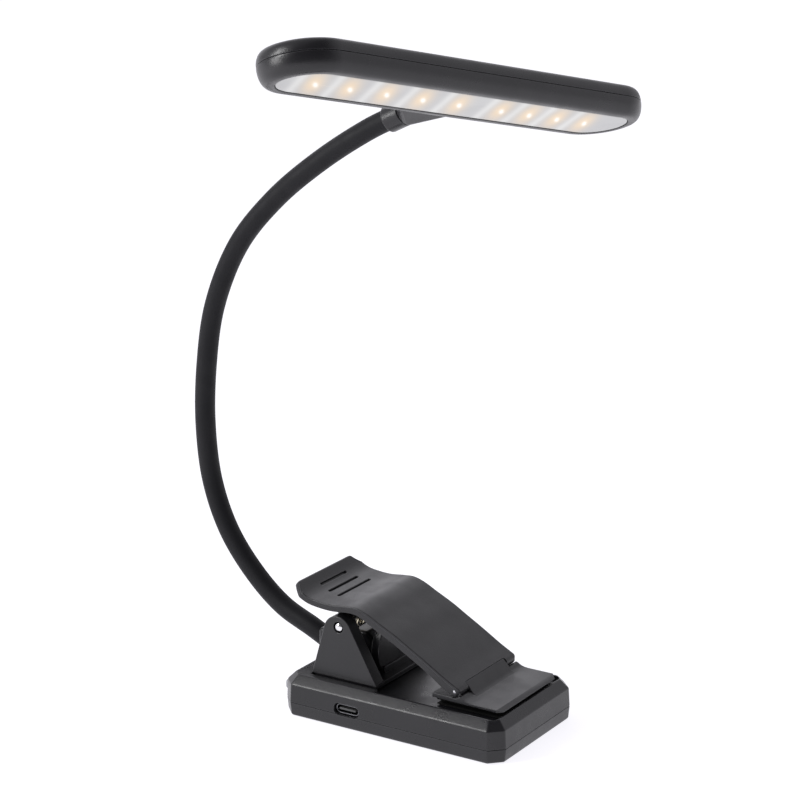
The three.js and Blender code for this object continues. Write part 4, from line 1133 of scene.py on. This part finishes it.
def make_floor():
    half = 6
    corners = [(-half, -half, 0), (half, -half, 0), (half, half, 0), (-half, half, 0)]
    floor = mesh_object("floor", corners, [(0, 1, 2, 3)])
    shader = Shader("floor_paper", Roughness=0.9, Specular_IOR_Level=0.0, Emission_Strength=0.9)
    shader.main.inputs["Emission Color"].default_value = STUDIO_TINT
    shader.colour(shader.ramp(shader.noise(3, 2), 0.33, 0.36))
    floor.data.materials.append(shader.material)
    floor.location.z = -0.2 * MM


def area_light(name, place, target, size, power):
    data = bpy.data.lights.new(name, "AREA")
    data.shape = "RECTANGLE"
    data.size, data.size_y = size
    data.energy = power
    light = bpy.data.objects.new(name, data)
    direction = Vector(target) - Vector(place)
    light.matrix_world = Matrix.Translation(place) @ direction.to_track_quat("-Z", "Y").to_matrix().to_4x4()
    bpy.context.scene.collection.objects.link(light)


BRIGHT_SIDES = (
    ((-0.75, 0.05, 0.66), 0.2, 0.9, 0.55),
    ((-0.58, 0.72, 0.38), 0.68, 0.95, 0.8),
    ((0.60, 0.75, 0.28), 0.62, 0.96, 0.7),
)
KEY_SIDE = Vector((-0.51, -0.65, 0.55))
LOW_SIDE = Vector((-0.66, -0.74, 0.11))


def make_world():
    """A studio that is bright on some sides: (direction, cosines where it is dark and full, strength)."""
    world = bpy.data.worlds.new("studio")
    world.use_nodes = True
    nodes, links = world.node_tree.nodes, world.node_tree.links
    place = nodes.new("ShaderNodeTexCoord").outputs["Generated"]
    light = None
    for direction, dark, full, strength in BRIGHT_SIDES:
        towards = nodes.new("ShaderNodeVectorMath")
        towards.operation = "DOT_PRODUCT"
        towards.inputs[1].default_value = direction
        links.new(place, towards.inputs[0])
        fade = nodes.new("ShaderNodeMapRange")
        fade.interpolation_type = "SMOOTHSTEP"
        for name, value in (("From Min", dark), ("From Max", full), ("To Min", 0.04), ("To Max", strength)):
            fade.inputs[name].default_value = value
        links.new(towards.outputs["Value"], fade.inputs["Value"])
        total = nodes.new("ShaderNodeMath")
        total.inputs[0].default_value = 0
        if light:
            links.new(light, total.inputs[0])
        links.new(fade.outputs["Result"], total.inputs[1])
        light = total.outputs[0]
    links.new(light, nodes["Background"].inputs["Strength"])
    nodes["Background"].inputs["Color"].default_value = STUDIO_TINT
    bpy.context.scene.world = world


def make_light():
    target = Vector((0, 0, 0.03))
    area_light("key", target + 1.2 * KEY_SIDE, target, (0.28, 0.4), 4.6)
    target = Vector((0, -0.075, 0.228))
    area_light("low", target + LOW_SIDE, target, (0.4, 0.26), 2.6)
    bpy.context.scene.view_settings.view_transform = "Standard"


make_camera()
make_floor()
make_world()
make_light()
make_base()
make_screws()
make_port()
make_button()
make_bracket()
make_pins()
make_spring()
make_lever()
make_jaw()
make_pad("upper_jaw_pad", "jaw_pad_upper", "jaw", 9, up=False)
make_pad("lower_jaw_pad", "jaw_pad_lower", "base", 9, up=True)
make_neck()
make_head()
make_lens()
make_leds()
make_collar()
dress_kept_nodes()
